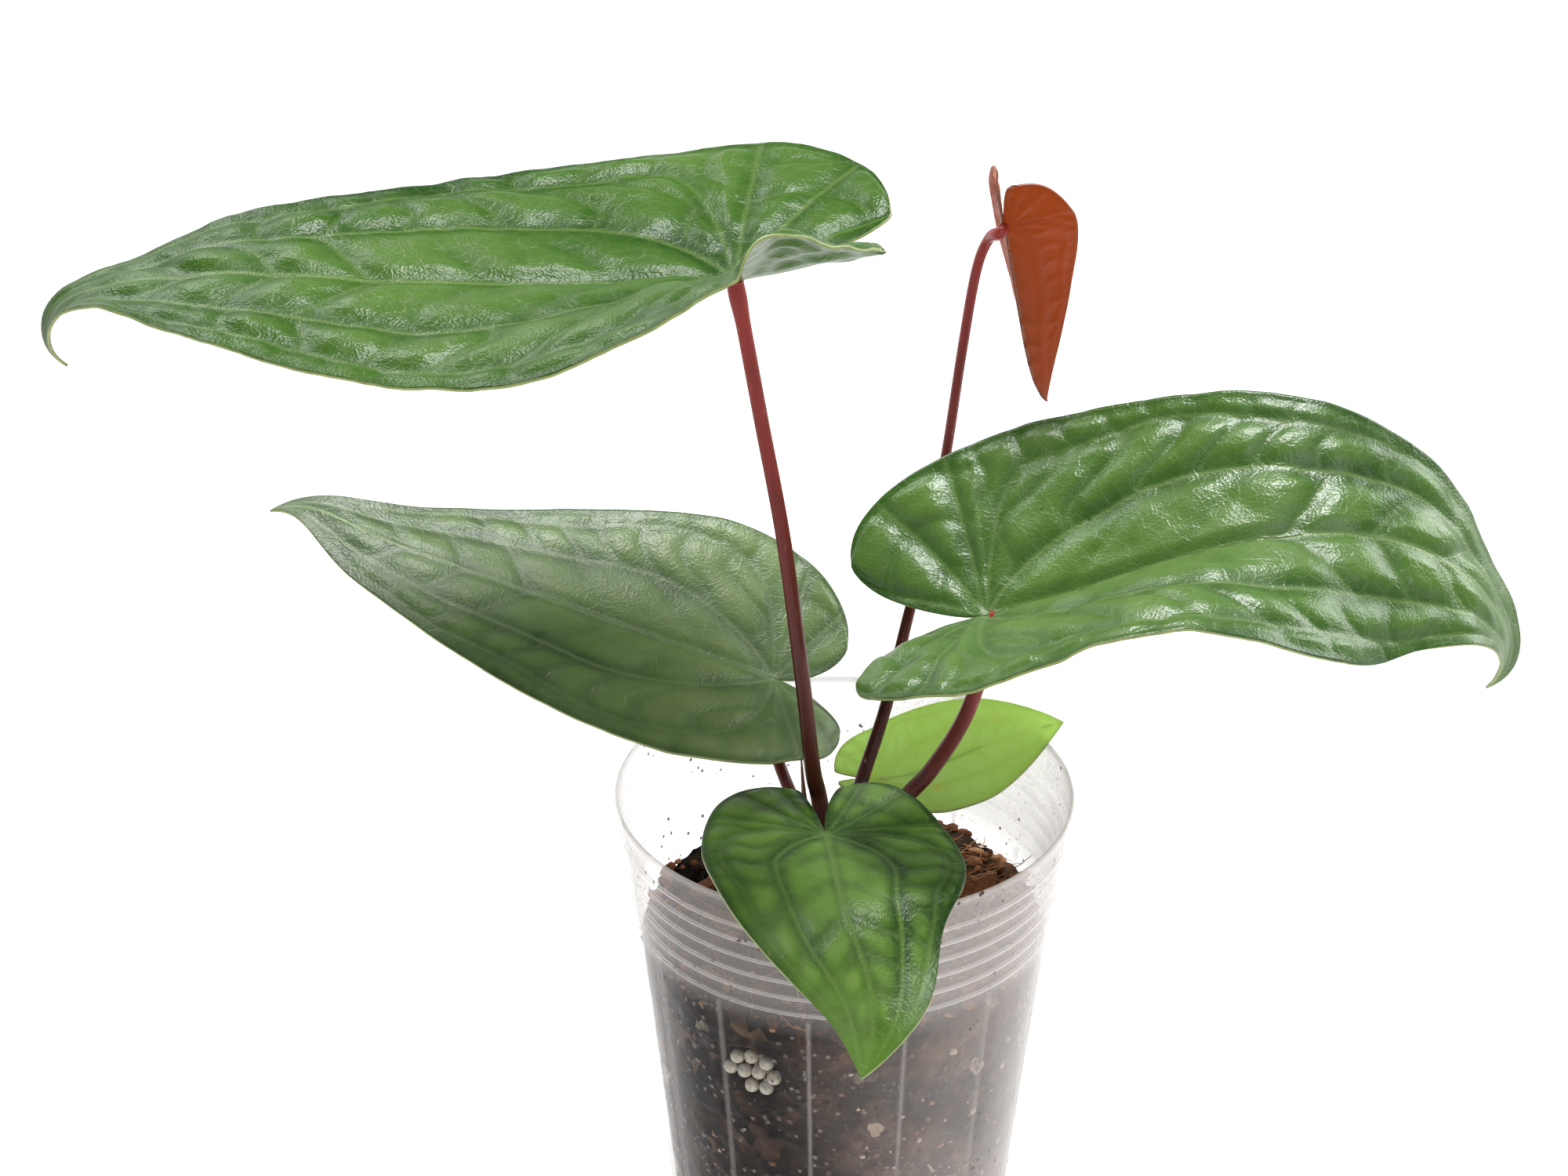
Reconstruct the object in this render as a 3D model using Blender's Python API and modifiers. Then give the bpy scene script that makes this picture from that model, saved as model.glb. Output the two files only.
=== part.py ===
"""Potted anthurium: solids for the CAD step, in metres with +Z up.

The origin is the centre of the pot's underside, so the pot stands on z = 0.
-Y is the front. The plant has six leaves, each a blade on its own petiole,
and the petioles rise from one crown that sits in the potting mix.
"""
import math

import bmesh
import bpy
import numpy as np

MM = 0.001
GAP = 0.3 * MM                    # clearance left between neighbouring pieces

# ---------------------------------------------------------------- pot sizes
POT_HEIGHT = 140 * MM
RIM_RADIUS = 60 * MM              # a 12 cm nursery pot across its rim
BAND_BOTTOM_RADIUS = 59.4 * MM
BAND_HEIGHT = 9 * MM
WALL_TOP_RADIUS = 58.3 * MM       # just under the rim band
BASE_RADIUS = 46 * MM
WALL = 0.9 * MM
FLOOR = 1.2 * MM
RINGS = 5                         # stacking rings under the band
RING_PITCH = 5.0 * MM
RING_STEP = 0.3 * MM
DRAIN_HOLES = 8
DRAIN_RADIUS = 3 * MM
DRAIN_CIRCLE = 32 * MM
POT_SIDES = 56

# ------------------------------------------------------ potting mix and crown
MIX_EDGE_HEIGHT = 97 * MM         # level of the mix at the wall
MIX_SIDES = 40
MOUND = 12 * MM                   # rise of the mound around the crown
MOUND_CENTRE = (6 * MM, 2 * MM)
MOUND_SPREAD = 26 * MM
CROWN_CENTRE = (-1 * MM, 0.0)
CROWN_RADIUS = 8.5 * MM
CROWN_BOTTOM = 96 * MM
CROWN_TOP = 115 * MM
PELLET_RADIUS = 1.9 * MM

# -------------------------------------------------------------------- leaves
BLADE = 0.8 * MM                  # blade thickness
BLADE_STATIONS = 22               # sections along a blade
BLADE_COLUMNS = 5                 # points from midrib to margin
STATIONS = (-1.0, 0.0, 0.35, 0.7, 0.9, 1.0)     # lobe end, junction ... tip

# Each blade is a flat heart-shaped outline bent along its midrib. Lengths in
# mm, angles in degrees. heading, pitch, roll and fold are given at STATIONS;
# droop is the curl of the left and right margin; lobe_in is how far out the
# left and right lobes end, as a fraction of the half width.
LEAVES = {
    "leaf_upper_left": dict(
        junction=(-27.5, 4, 279), length=179, lobe=38, half_width=69,
        widest=0.02, lobe_in=(0.29, 0.29), taper=(1.8, 1.08),
        heading=(177, 183, 185, 180, 189, 193),
        pitch=(-10, -4, 3, -4, -39, -145),
        roll=(6, 5, -5, -6, 0, -25),
        fold=(20, 20, 7, 3, 2, 7), droop=(11, 11)),
    "leaf_right": dict(
        junction=(35.4, 2, 189), length=164, lobe=32, half_width=52,
        widest=0.14, lobe_in=(0.46, 0.54), taper=(1.7, 0.95),
        heading=(-5, -14, -12, 3, -9, -34),
        pitch=(24, 21, 23, -27, -74, -132),
        roll=(11, 12, 10, 34, 14, 21),
        fold=(26, 27, 24, -2, 4, 18), droop=(-3, 22)),
    "leaf_mid_left": dict(
        junction=(-18.7, 28, 156.4), length=144, lobe=19, half_width=44,
        widest=0.17, lobe_in=(0.35, 0.35), taper=(1.4, 1.02),
        heading=(182, 182, 173, 169, 164, 176),
        pitch=(19, 22, 19, 16, 12, -25),
        roll=(-19, -16, -15, -14, -16, -5),
        fold=(16, 17, 8, -3, -5, 7), droop=(12, -3)),
    "leaf_front": dict(
        junction=(-5.3, -28, 142.2), length=82, lobe=23, half_width=32.7,
        widest=0.22, lobe_in=(0.18, 0.18), taper=(1.63, 0.99),
        heading=(-90, -84, -85, -72, -104, -114),
        pitch=(4, 6, 4, -38, -36, -33),
        roll=(4, -5, -4, -5, 3, 2),
        fold=(18, 9, 7, 5, 12, 9), droop=(10, 6)),
    "leaf_back_right": dict(
        junction=(10.6, 20.7, 129.2), length=52, lobe=13, half_width=17.2,
        widest=0.25, lobe_in=(0.13, 0.13), taper=(1.95, 0.95),
        heading=(16, 10, 4, 2, 2, 2),
        pitch=(-8, -2, 26, 19, 17, 13),
        roll=(20, 20, 34, 45, 43, 38),
        fold=(22, 22, 13, -1, 4, 6), droop=(-8, -8)),
    "leaf_new": dict(
        junction=(40.4, 50, 276), length=63, lobe=12, half_width=18.7,
        widest=0.07, lobe_in=(0.19, 0.19), taper=(1.7, 0.98),
        heading=(55, 59, 55, 52, 51, 49),
        pitch=(-55, -68, -70, -67, -53, -42),
        roll=(11, 9, -1, -1, -4, -4),
        fold=(52, 48, 56, 59, 52, 51), droop=(9, 12)),
}

# Each petiole runs from the top of the crown to just under its blade's
# junction. Points in mm, then the radius at the foot and at the top.
PETIOLES = {
    "petiole_upper_left": dict(
        foot=(-5.6, -2.6), radii=(2.6, 1.9),
        via=((-5.3, -4, 128), (-6.9, -6.5, 141), (-8.6, -10.6, 152),
             (-11.2, -10.6, 177), (-16, -7.5, 215), (-21.5, -2, 245),
             (-25.5, 2, 267))),
    "petiole_mid_left": dict(
        foot=(-6, 2.8), radii=(2.2, 1.6),
        via=((-10.5, 4.5, 126), (-15, 7, 136), (-18, 13, 142), (-19.5, 19, 148))),
    "petiole_right": dict(
        foot=(4.3, -2), radii=(2.6, 2.1), gap=1.4,
        via=((10, -1, 127), (16, 0.5, 136), (22.5, -0.5, 145), (30, -0.5, 159),
             (34.5, 0.5, 173))),
    "petiole_front": dict(
        foot=(-0.8, -5.6), radii=(2.0, 1.5), gap=0.9,
        via=((-1.5, -10.5, 123), (-3.5, -19, 132))),
    "petiole_back_right": dict(
        foot=(3.4, 3.4), radii=(1.7, 1.3),
        via=((5.5, 8, 120), (8.5, 15, 124.5))),
    "petiole_new": dict(
        foot=(-1, 5.2), radii=(2.2, 1.4),
        via=((1.5, 4, 127), (4.8, 4, 140), (11, 13, 156.5), (17.5, 29, 176.5),
             (23.5, 42, 195), (27.5, 51, 213), (31, 55, 240), (34, 55.5, 262),
             (36.8, 53.5, 271.5))),
}

# Dried sheaths left on the crown: foot, tip (mm) and half width (mm).
SHEATHS = {
    "sheath_brown": ((-8, 11, 112), (-11.3, 12, 143), 1.5),
    "sheath_red": ((-1.5, -0.6, 115.6), (-2.4, -2.2, 133), 1.3),
}

# Slow-release fertiliser pellets against the front-left wall: angle round
# the pot from -Y (degrees, negative is left) and height (mm).
PELLETS = ((-33, 85), (-28.2, 86.6), (-23.4, 85.8), (-30.8, 81), (-26, 82),
           (-21.2, 81.4), (-28.6, 76.8), (-23.8, 77.4), (-35.6, 80.6))

BARK_CHIPS = {
    "bark_chip_1": ((34, -4, 110), (14, 5, 2.6), (8, -14, 20)),
    "bark_chip_2": ((27, 14, 112), (12, 4, 2.4), (-10, 8, 75)),
    "bark_chip_3": ((-30, -14, 107.2), (15, 4, 2.2), (6, 12, -20)),
    "bark_chip_4": ((-36, 4, 106.6), (11, 5, 2.4), (-8, 10, 60)),
}

COLORS = {
    "pot": (0.85, 0.87, 0.88, 0.35),
    "mix": (0.06, 0.04, 0.03, 1),
    "petiole": (0.22, 0.05, 0.05, 1),
    "leaf": (0.08, 0.22, 0.05, 1),
    "young": (0.35, 0.12, 0.07, 1),
    "lime": (0.4, 0.55, 0.15, 1),
    "pellet": (0.85, 0.82, 0.74, 1),
    "bark": (0.25, 0.1, 0.05, 1),
}


# ------------------------------------------------------------------- helpers
def clear_scene():
    for ob in list(bpy.data.objects):
        bpy.data.objects.remove(ob, do_unlink=True)


def make_collection(name):
    col = bpy.data.collections.new(name)
    bpy.context.scene.collection.children.link(col)
    return col


def material(name):
    mat = bpy.data.materials.get(name)
    if mat is None:
        mat = bpy.data.materials.new(name)
        mat.use_nodes = True
        shader = mat.node_tree.nodes["Principled BSDF"]
        shader.inputs["Base Color"].default_value = COLORS[name][:3] + (1,)
        shader.inputs["Alpha"].default_value = COLORS[name][3]
        mat.diffuse_color = COLORS[name]
    return mat


def add_object(name, data, col, mat=None):
    ob = bpy.data.objects.new(name, data)
    col.objects.link(ob)
    if mat is not None:
        data.materials.append(material(mat))
    return ob


def mesh_from(verts, faces, name):
    mesh = bpy.data.meshes.new(name)
    mesh.from_pydata([tuple(v) for v in verts], [], faces)
    mesh.update()
    return mesh


def shade_smooth(mesh, smooth=True):
    for poly in mesh.polygons:
        poly.use_smooth = smooth


def tidy_mesh(mesh, distance=0.01 * MM):
    """Weld doubled points and turn every face outward."""
    bm = bmesh.new()
    bm.from_mesh(mesh)
    bmesh.ops.remove_doubles(bm, verts=bm.verts, dist=distance)
    bmesh.ops.dissolve_degenerate(bm, edges=bm.edges, dist=distance)
    bmesh.ops.recalc_face_normals(bm, faces=bm.faces)
    bm.to_mesh(mesh)
    bm.free()


def spun(name, profile, col, sides, mat=None):
    """Solid of revolution: profile (radius, z) runs down the outer side."""
    verts = [(r, 0.0, z) for r, z in profile]
    edges = [(i, i + 1) for i in range(len(profile) - 1)]
    mesh = bpy.data.meshes.new(name)
    mesh.from_pydata(verts, edges, [])
    ob = add_object(name, mesh, col, mat)
    screw = ob.modifiers.new("Screw", "SCREW")
    screw.steps = sides
    screw.render_steps = sides
    screw.use_merge_vertices = True
    screw.merge_threshold = 0.0001
    screw.use_smooth_shade = True
    return ob


def cut(ob, cutter, label):
    mod = ob.modifiers.new(label, "BOOLEAN")
    mod.operation = "DIFFERENCE"
    mod.solver = "EXACT"
    mod.object = cutter
    cutter.hide_render = True
    cutter.display_type = "WIRE"


def smooth_path(points, per_span=3):
    """Catmull-Rom curve through the points."""
    pts = [np.array(p, float) for p in points]
    pts = [2 * pts[0] - pts[1]] + pts + [2 * pts[-1] - pts[-2]]
    out = []
    for i in range(1, len(pts) - 2):
        a, b, c, d = pts[i - 1:i + 3]
        for t in np.linspace(0, 1, per_span, endpoint=False):
            out.append(0.5 * (2 * b + (c - a) * t
                              + (2 * a - 5 * b + 4 * c - d) * t ** 2
                              + (3 * b - a - 3 * c + d) * t ** 3))
    out.append(pts[-2])
    return np.array(out)


def tube(name, path, radii, col, mat, resolution=2):
    """Round rod along a path in metres, its radius given at every point."""
    curve = bpy.data.curves.new(name, "CURVE")
    curve.dimensions = "3D"
    curve.bevel_depth = 1.0
    curve.bevel_resolution = resolution
    curve.use_fill_caps = True
    spline = curve.splines.new("POLY")
    spline.points.add(len(path) - 1)
    for point, place, radius in zip(spline.points, path, radii):
        point.co = (place[0], place[1], place[2], 1.0)
        point.radius = radius
    return add_object(name, curve, col, mat)


# --------------------------------------------------------------------- blades
def along(values, t):
    """Smooth curve through values given at STATIONS."""
    v = np.array(values, float)
    s = np.array(STATIONS)
    slope = np.gradient(v, s)
    i = np.clip(np.searchsorted(s, t) - 1, 0, len(s) - 2)
    h = s[i + 1] - s[i]
    u = np.clip((t - s[i]) / h, 0, 1)
    return ((2 * u ** 3 - 3 * u ** 2 + 1) * v[i]
            + (u ** 3 - 2 * u ** 2 + u) * h * slope[i]
            + (3 * u ** 2 - 2 * u ** 3) * v[i + 1]
            + (u ** 3 - u ** 2) * h * slope[i + 1])


def blade_outline(leaf, x, side):
    """Inner and outer edge of one half of the flat blade at distance x."""
    length, lobe, width = leaf["length"], leaf["lobe"], leaf["half_width"]
    widest = leaf["widest"] * length
    end = leaf["lobe_in"][0 if side > 0 else 1] * width
    a, b = leaf["taper"]
    back = np.clip((widest - x) / (widest + lobe), 0, 1)
    fore = np.clip((x - widest) / (length - widest), 0, 1)
    outer = np.where(x < widest,
                     end + (width - end) * (1 - back ** 2.1) ** (1 / 2.1),
                     width * (1 - fore ** a) ** b)
    inward = np.clip(-x / lobe, 0, 1)
    inner = end * (1 - (1 - inward ** 1.6) ** (1 / 1.6))
    return inner, outer


def midrib_frame(leaf, x):
    """Midrib point, direction, upward normal and leftward side at x."""
    length, lobe = leaf["length"], leaf["lobe"]
    fine = np.concatenate([np.linspace(-lobe, 0, 40)[:-1],
                           np.linspace(0, length, 120)])

    def axes(at):
        t = np.where(at < 0, at / lobe, at / length)
        h = np.radians(along(leaf["heading"], t))
        p = np.radians(along(leaf["pitch"], t))
        run = np.stack([np.cos(p) * np.cos(h), np.cos(p) * np.sin(h),
                        np.sin(p)], 1)
        up = np.stack([-np.sin(p) * np.cos(h), -np.sin(p) * np.sin(h),
                       np.cos(p)], 1)
        return run, up

    run, _ = axes(fine)
    step = (run[1:] + run[:-1]) / 2 * np.diff(fine)[:, None]
    track = np.concatenate([[[0, 0, 0]], np.cumsum(step, 0)])
    track = track - track[39] + np.array(leaf["junction"], float)
    point = np.stack([np.interp(x, fine, track[:, k]) for k in range(3)], 1)
    run, up = axes(x)
    return point, run, up, np.cross(up, run)


def bent(leaf, x, y, side):
    """Place flat blade points (x along, y out from the midrib) in space."""
    point, _, up, left = midrib_frame(leaf, x)
    t = np.where(x < 0, x / leaf["lobe"], x / leaf["length"])
    angle = np.radians(along(leaf["fold"], t) + side * along(leaf["roll"], t))
    droop = leaf["droop"][0 if side > 0 else 1]
    curl = -math.radians(droop) / leaf["half_width"]
    out = (np.sin(angle + curl * y) - np.sin(angle)) / curl
    rise = (np.cos(angle) - np.cos(angle + curl * y)) / curl
    return point + left * (side * out)[:, None] + up * rise[:, None]


def blade(name, leaf, col, mat):
    """Closed blade: both halves lofted over the outline, then thickened."""
    length, lobe = leaf["length"], leaf["lobe"]
    cosine = (1 - np.cos(np.linspace(0, math.pi, BLADE_STATIONS))) / 2
    even = np.linspace(0, 1, BLADE_STATIONS)
    x = -lobe + (length + lobe) * (0.5 * cosine + 0.5 * even)
    x[np.argmin(np.abs(x))] = 0.0
    verts = []
    faces = []
    for side in (1, -1):
        base = len(verts)
        inner, outer = blade_outline(leaf, x, side)
        for v in np.linspace(0, 1, BLADE_COLUMNS):
            y = inner + (outer - inner) * v
            verts.extend(bent(leaf, x, y, side) * MM)
        for j in range(BLADE_COLUMNS - 1):
            for i in range(BLADE_STATIONS - 1):
                a = base + j * BLADE_STATIONS + i
                b = a + BLADE_STATIONS
                quad = (a, a + 1, b + 1, b)
                faces.append(quad if side > 0 else quad[::-1])
    mesh = mesh_from(verts, faces, name)
    tidy_mesh(mesh, 0.02 * MM)
    shade_smooth(mesh)
    ob = add_object(name, mesh, col, mat)
    thick = ob.modifiers.new("Thickness", "SOLIDIFY")
    thick.thickness = BLADE
    thick.offset = 0.0
    thick.use_even_offset = False
    return ob


def petiole(name, spec, leaf, col):
    """Petiole from the crown to just under its blade's junction."""
    point, run, up, _ = midrib_frame(leaf, np.array([0.0]))
    drop = BLADE / 2 / MM + spec.get("gap", 0.6)
    top = point[0] - up[0] * drop
    foot = spec["foot"] + ((CROWN_TOP + GAP) / MM,)
    above = foot[:2] + (foot[2] + 1.2,)
    under = tuple(top - up[0] * 1.4)
    bend = smooth_path((above,) + spec["via"] + (under,))
    path = np.vstack([foot, bend, top])
    wide, slim = spec["radii"]
    share = np.linspace(0, 1, len(path))
    radii = slim + (wide - slim) * (1 - share) ** 3
    return tube(name, path * MM, radii * MM, col, "petiole")


# ---------------------------------------------------------------------- pieces
def wall_radius(z):
    """Outer radius of the plain wall at height z."""
    slope = (WALL_TOP_RADIUS - BASE_RADIUS) / (POT_HEIGHT - BAND_HEIGHT)
    return BASE_RADIUS + slope * z


def pot_profile():
    band_bottom = POT_HEIGHT - BAND_HEIGHT
    outer = [(RIM_RADIUS - 0.5 * WALL, POT_HEIGHT),
             (RIM_RADIUS, POT_HEIGHT - 0.4 * MM),
             (RIM_RADIUS - 0.1 * MM, POT_HEIGHT - 1.6 * MM),
             (BAND_BOTTOM_RADIUS, band_bottom),
             (WALL_TOP_RADIUS, band_bottom - 0.6 * MM)]
    for i in range(RINGS):
        z = band_bottom - (i + 1) * RING_PITCH
        outer.append((wall_radius(z) + RING_STEP, z + 0.3 * MM))
        outer.append((wall_radius(z), z - 0.3 * MM))
    outer.append((wall_radius(2 * MM), 2 * MM))
    outer.append((BASE_RADIUS - 1.2 * MM, 0.0))
    floor = [(0.0, 0.0), (0.0, FLOOR), (BASE_RADIUS - WALL - 0.8 * MM, FLOOR)]
    inner = [(wall_radius(3 * MM) - WALL, 3 * MM),
             (WALL_TOP_RADIUS - WALL, band_bottom - 0.6 * MM),
             (BAND_BOTTOM_RADIUS - WALL, band_bottom + 0.4 * MM),
             (RIM_RADIUS - WALL, POT_HEIGHT - 0.4 * MM)]
    return outer + floor + inner + [outer[0]]


def build_pot(col, cutters):
    pot = spun("pot", pot_profile(), col, POT_SIDES, "pot")
    for k in range(DRAIN_HOLES):
        angle = 2 * math.pi * (k + 0.5) / DRAIN_HOLES
        bm = bmesh.new()
        bmesh.ops.create_cone(bm, cap_ends=True, segments=12,
                              radius1=DRAIN_RADIUS, radius2=DRAIN_RADIUS,
                              depth=6 * MM)
        mesh = bpy.data.meshes.new("drain")
        bm.to_mesh(mesh)
        bm.free()
        drain = add_object(f"drain_cut_{k}", mesh, cutters)
        drain.location = (DRAIN_CIRCLE * math.cos(angle),
                          DRAIN_CIRCLE * math.sin(angle), 0)
        cut(pot, drain, f"Drain {k}")
    return pot


def mix_height(x, y):
    """Height of the top of the mix: a low, lumpy mound."""
    dx = x - MOUND_CENTRE[0]
    dy = y - MOUND_CENTRE[1]
    rise = MOUND * math.exp(-(dx * dx + dy * dy) / (2 * MOUND_SPREAD ** 2))
    lumps = (1.0 * math.sin(x / MM * 0.29 + 1.1) * math.cos(y / MM * 0.23)
             + 0.6 * math.sin(x / MM * 0.51 - y / MM * 0.43)) * MM
    edge = min(1.0, (0.055 - math.hypot(x, y)) / (12 * MM) + 0.25)
    return MIX_EDGE_HEIGHT + rise + lumps * max(0.0, edge)


def build_mix(col, cutters):
    """Potting mix: fills the pot to the mound, with a socket for the crown."""
    def radius(z):
        return wall_radius(z) - WALL - GAP

    bottom = FLOOR + GAP
    levels = [bottom, 4 * MM, 40 * MM, 75 * MM, 90 * MM, 94 * MM]
    rings = []
    verts = []
    for z in levels:
        r = BASE_RADIUS - WALL - 1.6 * MM if z == bottom else radius(z)
        rings.append(len(verts))
        for k in range(MIX_SIDES):
            angle = 2 * math.pi * k / MIX_SIDES
            verts.append((r * math.cos(angle), r * math.sin(angle), z))
    for share in (1.0, 0.85, 0.68, 0.5, 0.3):
        rings.append(len(verts))
        for k in range(MIX_SIDES):
            angle = 2 * math.pi * k / MIX_SIDES
            r = share * radius(96 * MM)
            x, y = r * math.cos(angle), r * math.sin(angle)
            verts.append((x, y, mix_height(x, y)))
    faces = [tuple(range(MIX_SIDES))[::-1]]
    for low, high in zip(rings, rings[1:]):
        for k in range(MIX_SIDES):
            n = (k + 1) % MIX_SIDES
            faces.append((low + k, low + n, high + n, high + k))
    centre = len(verts)
    verts.append((0.0, 0.0, mix_height(0.0, 0.0)))
    last = rings[-1]
    for k in range(MIX_SIDES):
        faces.append((last + k, last + (k + 1) % MIX_SIDES, centre))
    mesh = mesh_from(verts, faces, "potting_mix")
    tidy_mesh(mesh)
    mix = add_object("potting_mix", mesh, col, "mix")

    socket = spun("crown_socket", crown_profile(GAP, CROWN_TOP + 8 * MM),
                  cutters, 24)
    socket.location = CROWN_CENTRE + (0.0,)
    cut(mix, socket, "Socket")
    for k, place in enumerate(pellet_places()):
        pocket = sphere(f"pellet_pocket_{k}", place, PELLET_RADIUS + GAP,
                        cutters, None)
        cut(mix, pocket, f"Pocket {k}")
    return mix


def crown_profile(grow, top):
    """Crown: a short stub, narrower below, its top at the given height."""
    r = CROWN_RADIUS + grow
    bottom = CROWN_BOTTOM - grow
    return [(0.0, top), (r - 1.5 * MM, top), (r, top - 1.2 * MM),
            (r, bottom + 9 * MM), (r - 2.5 * MM, bottom), (0.0, bottom)]


def build_crown(col):
    crown = spun("stem_crown", crown_profile(0.0, CROWN_TOP), col, 24, "petiole")
    crown.location = CROWN_CENTRE + (0.0,)
    return crown


def sphere(name, place, radius, col, mat):
    bm = bmesh.new()
    bmesh.ops.create_uvsphere(bm, u_segments=10, v_segments=7, radius=radius)
    mesh = bpy.data.meshes.new(name)
    bm.to_mesh(mesh)
    bm.free()
    shade_smooth(mesh)
    ob = add_object(name, mesh, col, mat)
    ob.location = place
    return ob


def pellet_places():
    places = []
    for angle, z in PELLETS:
        a = math.radians(angle)
        r = wall_radius(z * MM) - WALL - GAP - PELLET_RADIUS
        places.append((r * math.sin(a), -r * math.cos(a), z * MM))
    return places


def build_sheath(name, spec, col):
    """Dried sheath: a narrow flattened rod that tapers to a point."""
    foot, tip, half = spec
    a, b = np.array(foot, float), np.array(tip, float)
    mid = (a + b) / 2 + np.array((-0.6, 0.5, 0))
    path = smooth_path((tuple(a), tuple(mid), tuple(b)), 4)
    share = np.linspace(0, 1, len(path))
    radii = half * (1 - 0.75 * share ** 2)
    return tube(name, path * MM, radii * MM, col, "bark", 1)


def build_chip(name, spec, col):
    """Bark chip: a small bevelled slab lying on the mix."""
    place, size, turn = spec
    bm = bmesh.new()
    bmesh.ops.create_cube(bm, size=1.0)
    for v in bm.verts:
        narrow = 0.7 if v.co.x > 0 else 1.0
        v.co = (v.co.x * size[0] * MM, v.co.y * size[1] * MM * narrow,
                v.co.z * size[2] * MM * narrow)
    mesh = bpy.data.meshes.new(name)
    bm.to_mesh(mesh)
    bm.free()
    ob = add_object(name, mesh, col, "bark")
    ob.location = tuple(c * MM for c in place)
    ob.rotation_euler = tuple(math.radians(t) for t in turn)
    bevel = ob.modifiers.new("Bevel", "BEVEL")
    bevel.width = 0.5 * MM
    bevel.segments = 2
    return ob


def build():
    clear_scene()
    col = make_collection("potted_anthurium")
    cutters = make_collection("cutters")
    build_pot(col, cutters)
    build_mix(col, cutters)
    build_crown(col)
    shades = {"leaf_new": "young", "leaf_back_right": "lime"}
    for name, leaf in LEAVES.items():
        blade(name, leaf, col, shades.get(name, "leaf"))
        stalk = name.replace("leaf", "petiole")
        petiole(stalk, PETIOLES[stalk], leaf, col)
    for name, spec in SHEATHS.items():
        build_sheath(name, spec, col)
    for name, spec in BARK_CHIPS.items():
        build_chip(name, spec, col)
    for k, place in enumerate(pellet_places()):
        sphere(f"pellet_{k + 1}", place, PELLET_RADIUS, col, "pellet")


build()
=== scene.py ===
"""Potted anthurium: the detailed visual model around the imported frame."""
import math
import random

import bmesh
import bpy
import numpy as np
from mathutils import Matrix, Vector, noise


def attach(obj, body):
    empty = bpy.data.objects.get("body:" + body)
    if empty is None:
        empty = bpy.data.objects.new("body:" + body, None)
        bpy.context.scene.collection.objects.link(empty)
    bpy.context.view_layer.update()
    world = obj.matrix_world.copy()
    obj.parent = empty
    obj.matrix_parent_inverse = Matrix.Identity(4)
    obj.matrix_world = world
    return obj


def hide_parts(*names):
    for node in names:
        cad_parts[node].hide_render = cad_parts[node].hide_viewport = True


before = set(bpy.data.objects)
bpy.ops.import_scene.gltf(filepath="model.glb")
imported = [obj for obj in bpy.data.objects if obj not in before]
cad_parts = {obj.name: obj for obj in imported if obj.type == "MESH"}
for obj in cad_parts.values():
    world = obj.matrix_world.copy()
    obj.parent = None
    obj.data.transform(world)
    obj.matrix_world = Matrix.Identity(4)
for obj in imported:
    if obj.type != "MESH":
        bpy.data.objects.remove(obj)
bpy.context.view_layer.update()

MM = 0.001
random.seed(7)
SCENE = bpy.context.scene

# ---- camera
TARGET = (-0.0158, 0.0, 0.198)
DISTANCE = 0.658
ELEVATION = math.radians(26.9)

cam_data = bpy.data.cameras.new("camera")
cam_data.lens = 60
cam_data.sensor_width = 36
cam_data.clip_start = 0.01
camera = bpy.data.objects.new("camera", cam_data)
camera.location = (TARGET[0], TARGET[1] - DISTANCE * math.cos(ELEVATION),
                   TARGET[2] + DISTANCE * math.sin(ELEVATION))
camera.rotation_euler = (math.pi / 2 - ELEVATION, 0, 0)
SCENE.collection.objects.link(camera)
SCENE.camera = camera
SCENE.view_settings.view_transform = "Standard"

# ---- dimensions
POT_HEIGHT = 140 * MM
RIM_RADIUS = 60 * MM
BAND_BOTTOM_RADIUS = 59.4 * MM
BAND_HEIGHT = 9 * MM
WALL_TOP_RADIUS = 58.3 * MM
BASE_RADIUS = 46 * MM
WALL = 0.9 * MM
FLOOR = 1.2 * MM
RINGS = 5
RING_PITCH = 5 * MM
RING_STEP = 0.3 * MM
BAND_BOTTOM = POT_HEIGHT - BAND_HEIGHT
LOWEST_RING = BAND_BOTTOM - RINGS * RING_PITCH
RIBS = 14
RIB_PHASE = math.radians(-100.2)
DRAIN_HOLES = 8
DRAIN_RADIUS = 3 * MM
DRAIN_CIRCLE = 32 * MM
MIX_EDGE_HEIGHT = 97 * MM
MOUND = 12 * MM
MOUND_CENTRE = (6 * MM, 2 * MM)
MOUND_SPREAD = 26 * MM
CROWN_CENTRE = (-1 * MM, 0.0)
CROWN_TOP = 115 * MM
STATIONS = (-1.0, 0.0, 0.35, 0.7, 0.9, 1.0)

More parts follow.
